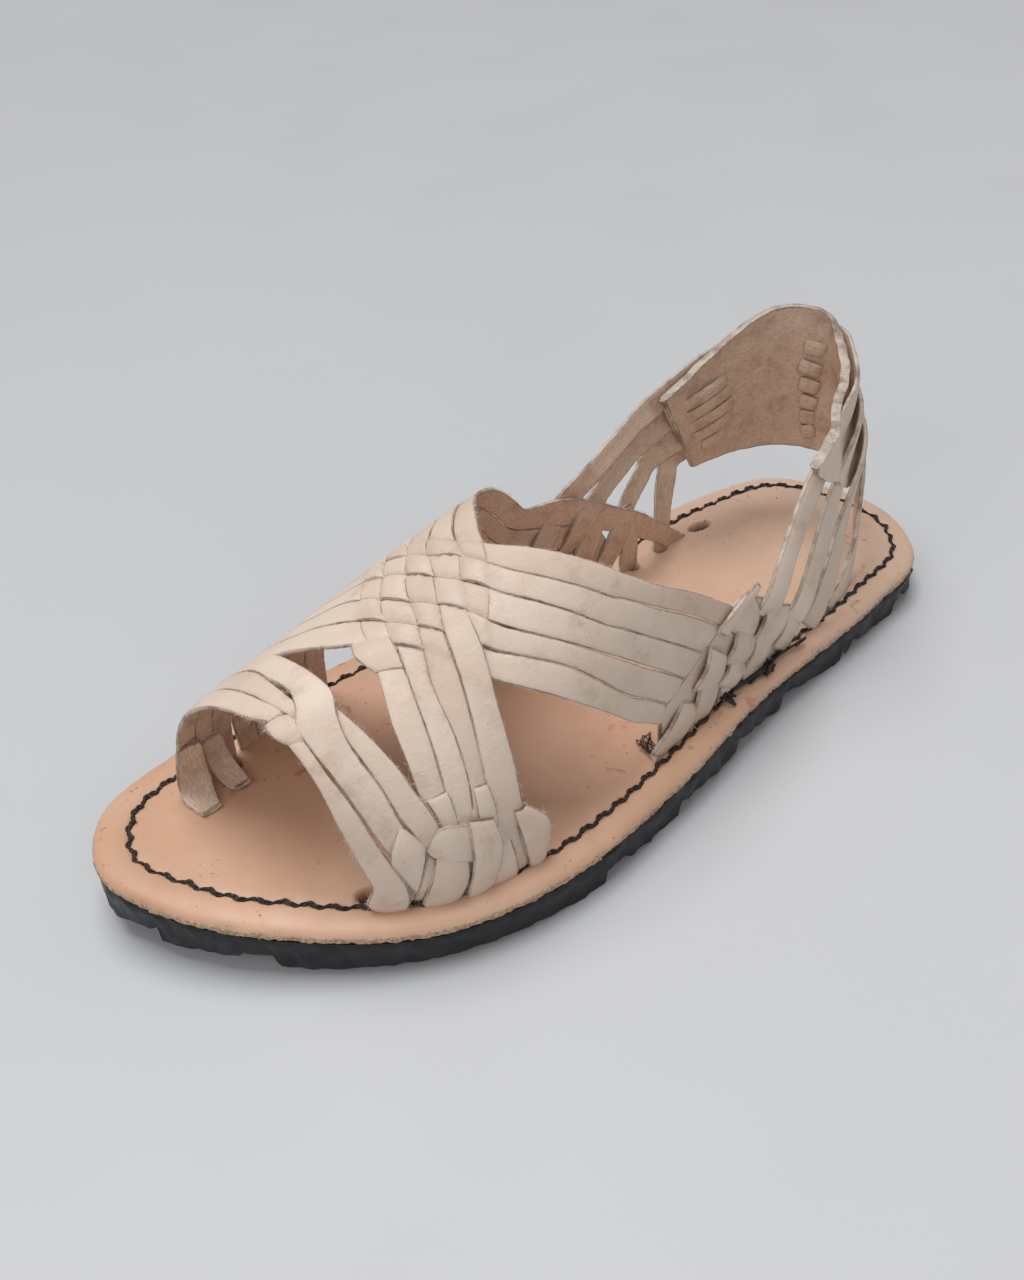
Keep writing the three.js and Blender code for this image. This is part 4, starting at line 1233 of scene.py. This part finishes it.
def holes(points):
    """1 in the middle of a slot, 0 outside it, with a soft wall about a millimetre wide."""
    deep = np.zeros(points.shape[:-1])
    for x, y, long, wide, angle in HOLES:
        c, s = np.cos(np.radians(angle)), np.sin(np.radians(angle))
        dx, dy = points[..., 0] - x, points[..., 1] - y
        away = np.hypot((dx * c + dy * s) / long, (dy * c - dx * s) / wide)
        deep = np.maximum(deep, 1 - ramp(away, 0.75, 1.15))
    return deep


inward_shares = np.linspace(0, 1, 66)[1:]
under_shares = np.linspace(1, 0, 5)
footbed_rings = (
    [towards_spine(UNDER_FROM, share) for share in under_shares] + [ring(4.0)]
    + [ring(inset) for inset in RIM_PROFILE[:, 0]] + [ring(stitch_inset + step) for step, _ in GROOVE]
    + [towards_spine(stitch_inset + GROOVE_OUT, share) for share in inward_shares]
)
below = np.full(len(under_shares) + 1, FOOTBED_BOTTOM - FOOTBED)
heights = np.concatenate([below, RIM_PROFILE[:, 1], [deep for _, deep in GROOVE], 0 * inward_shares])
heights = heights[:, None] + FOOTBED + 0 * loop[:, 0]
band = np.concatenate([0 * below, RIM_PROFILE[:, 2], np.zeros(len(GROOVE)), 0 * inward_shares])
band = band[:, None] + 0 * loop[:, 0]
TOP_FROM = len(below) + 5


def worn(points):
    """Holes, a slight unevenness on top and frayed fibres in the rough band."""
    points[TOP_FROM:, :, 2] += waves(points[TOP_FROM:], 38, 3) * 0.25 - HOLE_DEPTH * holes(points[TOP_FROM:])
    fray = np.random.default_rng(8).normal(0, 0.16, points.shape[:2]) * band + waves(points, 5, 9) * 0.25 * band
    points[..., :2] -= inward * fray[..., None]
    return points


def footbed_marks(points):
    """The attributes: rough band, holes, and the painted shade, with dirt, under the panel."""
    from_shade = (points[..., :2] - SHADE_AT) / SHADE_SIZE
    shade = np.exp(-np.sum(from_shade**2, axis=-1))
    return {"rim": band, "hole": ramp(holes(points), 0.35, 0.9), "shade": shade}


add_sole_piece("footbed", footbed_rings, heights, tan_leather, "footbed_leather", ["insole"], worn, footbed_marks)

# %% [markdown]
# The rubber is black with a little grey dust, and scuffed where it was walked on. Its bump is a fine
# pitting, like that of moulded rubber.

# %% Rubber
BLACK = linear(17, 17, 20), linear(27, 28, 33)
DUST, SCUFF = linear(88, 92, 100), linear(124, 126, 130)
RUBBER_PITS = 0.3


def rubber_look():
    """Two blacks, a veil of dust, and paler scuffs in patches."""
    f = Finish("rubber")
    black = f.mix(f.noise(20, 3), BLACK[0], BLACK[1])
    dust = f.times(f.step(f.noise(6, 7, rough=0.7), 0.52, 0.72), 0.2)
    black = f.mix(dust, black, DUST)
    scuffs = f.step(f.noise(2.4, 6, rough=0.75, twist=1.5), 0.60, 0.68)
    scuffs = f.times(scuffs, f.step(f.noise(14, 2), 0.5, 0.60))
    black = f.mix(f.times(scuffs, 0.35), black, SCUFF)
    height = f.plus(f.times(f.noise(1.2, 5), 0.6), f.times(f.noise(0.3, 3), 0.25))
    return f.finish(black, f.step(f.noise(5, 4), 0.3, 0.7, 0.36, 0.62), height, RUBBER_PITS)


rubber = rubber_look()

# %% [markdown]
# The rubber is cut from a thick ribbed sheet. Rows of round lugs slant across it; each lug stands
# proud along one side of its row and runs down to the base on the other, like roof tiles. The cut side
# follows the rows, so its lower edge is ragged.

# %% Tread
LUG = 4.5
COIN_RADIUS, COIN_PITCH, ROW_PITCH = 7.4, 11.5, 15.5
COIN_WALL = 0.35
SINK_FROM, SINK_TO, SINK = -6.0, 8.5, 3.0
ROW_ANGLE = np.radians(-22)


def tread(x, y):
    """Depth of the tread above the floor: 0 on a lug's high side, LUG in the groove behind its arc."""
    dx, dy = x - LENGTH / 2, y
    along = dx * np.cos(ROW_ANGLE) + dy * np.sin(ROW_ANGLE)
    across = -dx * np.sin(ROW_ANGLE) + dy * np.cos(ROW_ANGLE)
    depth = np.full(np.shape(x), LUG)
    base = np.round(across / ROW_PITCH)
    for step in (-1, 0, 1):
        row = base + step
        shift = np.mod(row, 2) * COIN_PITCH / 2
        to_coin = np.mod(along - shift + COIN_PITCH / 2, COIN_PITCH) - COIN_PITCH / 2
        side = across - row * ROW_PITCH
        away = np.hypot(to_coin, side)
        sink = ramp(side, SINK_FROM, SINK_TO) * SINK
        wall = ramp(away, COIN_RADIUS - COIN_WALL, COIN_RADIUS + COIN_WALL)
        depth = np.minimum(depth, sink * (1 - wall) + LUG * wall)
    return depth


print("lugs are", 2 * COIN_RADIUS, "mm round in rows", ROW_PITCH, "mm apart")

# %% [markdown]
# The outsole is a closed piece like the footbed. Below, its rings lie about half a millimetre apart, so
# that each lug is real geometry. The side is cut straight down from the rubber's top to the tread.

# %% Rubber sole
TREAD_SHARES = np.linspace(1, 0, 92)
WALL_SHARES = np.array([0.93, 0.7, 0.4, 0.1])
SOLE_FLAT, SOLE_CREASE = 4.5, 38
outsole_rings = (
    [towards_spine(SOLE_FLAT, share) for share in TREAD_SHARES]
    + [ring(inset) for inset in (3.6, 2.7, 1.8, 0.9, 0.0, 0.1, 0.2, 0.1, 0.0, 0.4, 1.2)]
    + [towards_spine(SOLE_FLAT, share) for share in np.linspace(0, 1, 5)]
)
TREAD_RINGS = len(TREAD_SHARES) + 5
tread_height = np.stack([tread(plan[:, 0], plan[:, 1]) for plan in outsole_rings[:TREAD_RINGS]])
side_height = RUBBER * (1 - WALL_SHARES[:, None]) + tread_height[-1] * WALL_SHARES[:, None]
top_height = np.full((7, len(loop)), RUBBER)
sole_height = np.vstack([tread_height, side_height, top_height])


def torn_rubber(points):
    """The cut side wanders and the tread is not quite smooth."""
    side = np.zeros(points.shape[:2])
    side[TREAD_RINGS - 1 : TREAD_RINGS + 4] = 1
    fray = (waves(points, 9, 12) * 0.3 + waves(points, 3.5, 13) * 0.25) * side
    points[..., :2] -= inward * fray[..., None]
    points[:TREAD_RINGS, :, 2] += np.abs(waves(points[:TREAD_RINGS], 3, 14)) * 0.12
    return points


add_sole_piece(
    "rubber_sole", outsole_rings, sole_height, rubber, "sole_rubber", ["outsole"], torn_rubber,
    attributes=lambda points: {}, sharp=SOLE_CREASE,
)

# %% [markdown]
# The seam above is sewn with waxed black thread and the one below shows white. Both are twisted, and the
# twist is a sine of the place along the thread and round it, which the thread's mesh stores as `route`.

# %% Thread
PLY = (1.0, 0.8, 0.0)
PLY_TURNS, PLY_DEPTH = 5.0, 0.08


def thread_look(name, base, light):
    """A twisted thread: the bump runs slantwise round it, and the colour is cloudy with wax."""
    f = Finish(name)
    turned = f.node("VectorMath", {"operation": "DOT_PRODUCT"}, {0: f.read("route", "Vector"), 1: PLY}).outputs[1]
    lay = f.node("Math", {"operation": "SINE"}, {0: f.times(turned, PLY_TURNS)}).outputs[0]
    colour = f.mix(f.step(f.noise(2.0, 4), 0.4, 0.7), base, light)
    height = f.plus(lay, f.times(f.noise(0.3, 3), 1.0))
    return f.finish(colour, f.step(f.noise(3, 2), 0.3, 0.7, 0.5, 0.7), height, PLY_DEPTH)


black_thread = thread_look("black_thread", linear(30, 25, 24), linear(66, 50, 42))
white_thread = thread_look("white_thread", linear(206, 200, 188), linear(168, 160, 148))

# %% [markdown]
# A thread's surface is a tube: a small circle carried along a path, with its plane square to the path. A
# closed path joins its last circle to its first.

# %% Tubes


def tube(path, radius, sides=7, closed=False):
    """Points, faces and route of a tube of one radius round a path of points."""
    run = np.roll(path, -1, axis=0) - np.roll(path, 1, axis=0) if closed else np.gradient(path, axis=0)
    run /= np.linalg.norm(run, axis=1)[:, None] + 1e-9
    side = np.cross(run, (0, 0, 1.0)) + 1e-6
    side /= np.linalg.norm(side, axis=1)[:, None]
    up = np.cross(side, run)
    angle = 2 * np.pi * np.arange(sides) / sides
    circle = np.cos(angle)[None, :, None] * side[:, None] + np.sin(angle)[None, :, None] * up[:, None]
    flat = (path[:, None] + circle * radius).reshape(-1, 3)
    route = np.stack(np.broadcast_arrays(lengths(path)[:, None], angle[None, :] * radius, 0.0), axis=-1)
    quads = grid_quads(len(path), sides, round_rows=closed, round_columns=True)
    return flat, facing_out(flat, quads), route.reshape(-1, 3)


def add_tubes(name, tubes, material, slot):
    """Several tubes as one piece."""
    points, quads, routes = zip(*tubes)
    starts = np.cumsum([0] + [len(flat) for flat in points[:-1]])
    quads = np.concatenate([faces + start for faces, start in zip(quads, starts)])
    return add_piece(name, np.concatenate(points), quads, material, slot, route=np.concatenate(routes))


sample = tube(np.column_stack([np.arange(4.0), np.zeros(4), np.zeros(4)]), 1.0)
print("a tube of 4 circles has", len(sample[0]), "points and", len(sample[1]), "faces")

# %% [markdown]
# The upper seam is a heavy thread of two strands laid in a groove all round. Its stitches pull to one side
# and the other in turn, so it runs in a zigzag, and it dips where it goes through the leather. The two
# strands wind round each other along that path.

# %% Upper seam
STITCH, SEAM_STEP = 6.4, 0.45
ZIGZAG, SHARPNESS, SEAM_WANDER = 0.5, 0.94, 0.4
SEAM_RISE, SEAM_DIP = 0.05, 0.45
STRAND_TURN, STRAND_SIDE, STRAND_UP, STRAND = 4.3, 0.36, 0.26, 0.42


def closed_up(line):
    """A line of points with its first point again at the end."""
    return np.vstack([line, line[:1]])


seam = closed_up(ring(stitch_inset))
seam_run = lengths(seam)
seam_step = np.arange(0, seam_run[-1], SEAM_STEP)
around = np.interp(seam_step, seam_run, np.arange(len(seam)))
seam_at = smooth(np.arange(len(seam)), seam, around)
seam_in = smooth(np.arange(len(seam)), closed_up(inward), around)
stitches = round(seam_run[-1] / STITCH)
phase = 2 * np.pi * stitches * seam_step / seam_run[-1]
uneven = waves(np.column_stack([seam_at, 0 * seam_step]), 26, 17)
zigzag = ZIGZAG * np.arcsin(SHARPNESS * np.sin(phase + 0.9 * uneven)) + SEAM_WANDER * uneven
seam_at = seam_at + seam_in * zigzag[:, None]
seam_z = FOOTBED + lift(seam_at[:, 0]) + SEAM_RISE + SEAM_DIP * np.cos(phase)
rope = []
for strand in (0, np.pi):
    turn = 2 * np.pi * seam_step / STRAND_TURN + strand
    plan = seam_at + seam_in * (STRAND_SIDE * np.cos(turn))[:, None]
    rope.append(tube(np.column_stack([plan, seam_z + STRAND_UP * np.sin(turn)]), STRAND, closed=True))
print(stitches, "stitches along", seam_run[-1].round(1), "mm")

# %% [markdown]
# On the outer side the seam was sewn twice and ends in a tangle of loops beside the rear plait. Each
# loose thread is a smooth curve through random points that stay near a place and just above the leather.

# %% Loops and tails of thread


def tangle(middle, spread, count, seed, height=2.0, radius=STRAND):
    """A thread that wanders through count points about middle, within spread millimetres."""
    rng = np.random.default_rng(seed)
    points = np.column_stack([
        middle[0] + rng.normal(0, spread[0], count), middle[1] + rng.normal(0, spread[1], count),
        FOOTBED + lift(np.array(middle[0])) + rng.uniform(0.3, height, count),
    ])
    path = smooth(np.arange(count), points, np.linspace(0, count - 1, count * 9))
    return tube(path, radius, sides=6)


rope += [
    tangle((104, 42.5), (3.6, 1.3), 11, 21), tangle((101, 42), (2.0, 1.6), 8, 22, height=3.0),
    tangle((119.5, 44.5), (3.2, 1.4), 12, 23, height=2.6), tangle((121, 44.5), (2.0, 2.0), 9, 24, height=3.2),
    tangle((113, 43.2), (5.0, 0.8), 10, 25), tangle((94, 41), (4.0, 0.7), 8, 26),
    # two thin ends by the front of the rear plait
    tangle((150, 44), (2.6, 2.2), 9, 27, radius=0.16),
    tangle((151, 42), (2.4, 2.8), 9, 28, height=2.4, radius=0.16),
]
add_tubes("upper_stitching", rope, black_thread, "black_thread")

# %% [markdown]
# Below, the same seam shows as a row of white stitches between the lugs and over them. Each follows the
# tread's depth, smoothed a little, and turns up at both ends where it goes into the rubber.

# %% Lower seam
DASH, DASH_PITCH, DASH_POINTS = 5.4, 6.9, 9
DASH_THREAD, DASH_SUNK, DASH_CURL, DASH_LOWEST = 0.45, 0.05, 1.1, 0.35
lower = closed_up(ring(stitch_inset + 0.8))
lower_run = lengths(lower)
dashes = int(lower_run[-1] / DASH_PITCH)
share = np.linspace(0, 1, DASH_POINTS)
rng = np.random.default_rng(31)
white = []
for start in np.arange(dashes) * lower_run[-1] / dashes:
    at = np.interp(start + share * DASH, lower_run, np.arange(len(lower)))
    plan = smooth(np.arange(len(lower)), lower, at) + rng.normal(0, 0.2, 2)
    depth = np.convolve(np.pad(tread(plan[:, 0], plan[:, 1]), 1, "edge"), np.ones(3) / 3, "valid")
    z = lift(plan[:, 0]) + depth - DASH_SUNK + DASH_CURL * np.abs(2 * share - 1) ** 5
    white.append(tube(np.column_stack([plan, np.maximum(z, DASH_LOWEST)]), DASH_THREAD, sides=6))
add_tubes("lower_stitching", white, white_thread, "white_thread")

# %% [markdown]
# Cut vegetable-tanned leather sheds fibres. They are tiny bent ribbons along the edges of the strips:
# each starts on an edge, leans outwards with some luck in its direction, and ends in a point.

# %% Loose fibres on the cut edges
FIBRES_PER_POINT = 2.4
FIBRE_LENGTH, FIBRE_WIDTH = 0.75, 0.09


def fibres(strips, per_point):
    """Three-row ribbons from random edge points: base, middle and tip of each fibre."""
    rng = np.random.default_rng(77)
    edges, sides, ups = (np.concatenate([s[key] for s in strips]) for key in ("edges", "sides", "ups"))
    sides /= np.linalg.norm(sides, axis=1)[:, None] + 1e-9
    ups /= np.linalg.norm(ups, axis=1)[:, None] + 1e-9
    patchy = np.clip(0.6 + 1.2 * waves(edges, 16, 41), 0.05, 2)
    pick = rng.choice(len(edges), int(len(edges) * per_point), p=patchy / patchy.sum())
    count = (len(pick), 1)
    side, up = sides[pick], ups[pick]
    run = np.cross(side, up)
    base = edges[pick] + run * rng.uniform(-0.5, 0.5, count) + up * rng.uniform(-0.5, 0.3, count) - side * 0.1
    length = FIBRE_LENGTH * rng.lognormal(0, 0.45, count) * (0.6 + 0.4 * patchy[pick, None])
    lean = side * rng.uniform(0.4, 1, count) + up * rng.normal(0.1, 0.5, count) + run * rng.normal(0, 0.7, count)
    bend = rng.normal(0, 0.3, (len(pick), 3))
    middle, tip = base + lean * length * 0.5, base + (lean + bend) * length
    wide = np.cross(lean, rng.normal(size=(len(pick), 3)))
    wide *= FIBRE_WIDTH / 2 / (np.linalg.norm(wide, axis=1)[:, None] + 1e-9)
    rows = [base - wide, base + wide, middle + wide * 0.8, middle - wide * 0.8, tip + wide * 0.2, tip - wide * 0.2]
    first = np.arange(len(pick))[:, None] * 6
    quads = np.concatenate([first + (0, 1, 2, 3), first + (3, 2, 4, 5)])
    return np.stack(rows, axis=1).reshape(-1, 3), quads


f = Finish("fibres")
pale = f.mix(f.noise(3, 2), linear(236, 226, 214), linear(206, 186, 166))
fibre_look = f.finish(pale, f.step(f.noise(2, 1), 0.3, 0.7, 0.6, 0.8), f.noise(0.5, 1), 0.02)
points, quads = fibres(fuzzy, FIBRES_PER_POINT)
add_piece("edge_fibres", points, quads, fibre_look, "strip_leather")

# %% [markdown]
# The floor is a plain pale plane, a stage and not a piece. Its slight cloudiness keeps it from looking
# like a cut-out.

# %% Floor
FLOOR_REACH = 6.0
f = Finish("floor")
pale = f.mix(f.noise(260, 3), linear(199, 200, 202), linear(193, 194, 196))
floor_mesh = bpy.data.meshes.new("floor")
corners = [(x * FLOOR_REACH, y * FLOOR_REACH, 0) for x, y in ((-1, -1), (1, -1), (1, 1), (-1, 1))]
floor_mesh.from_pydata(corners, [], [(0, 1, 2, 3)])
floor_mesh.materials.append(f.finish(pale, f.step(f.noise(90, 2), 0.3, 0.7, 0.6, 0.75), f.noise(3, 2), 0.02))
floor = bpy.data.objects.new("floor", floor_mesh)
bpy.context.scene.collection.objects.link(floor)
print("floor", 2 * FLOOR_REACH, "m wide")
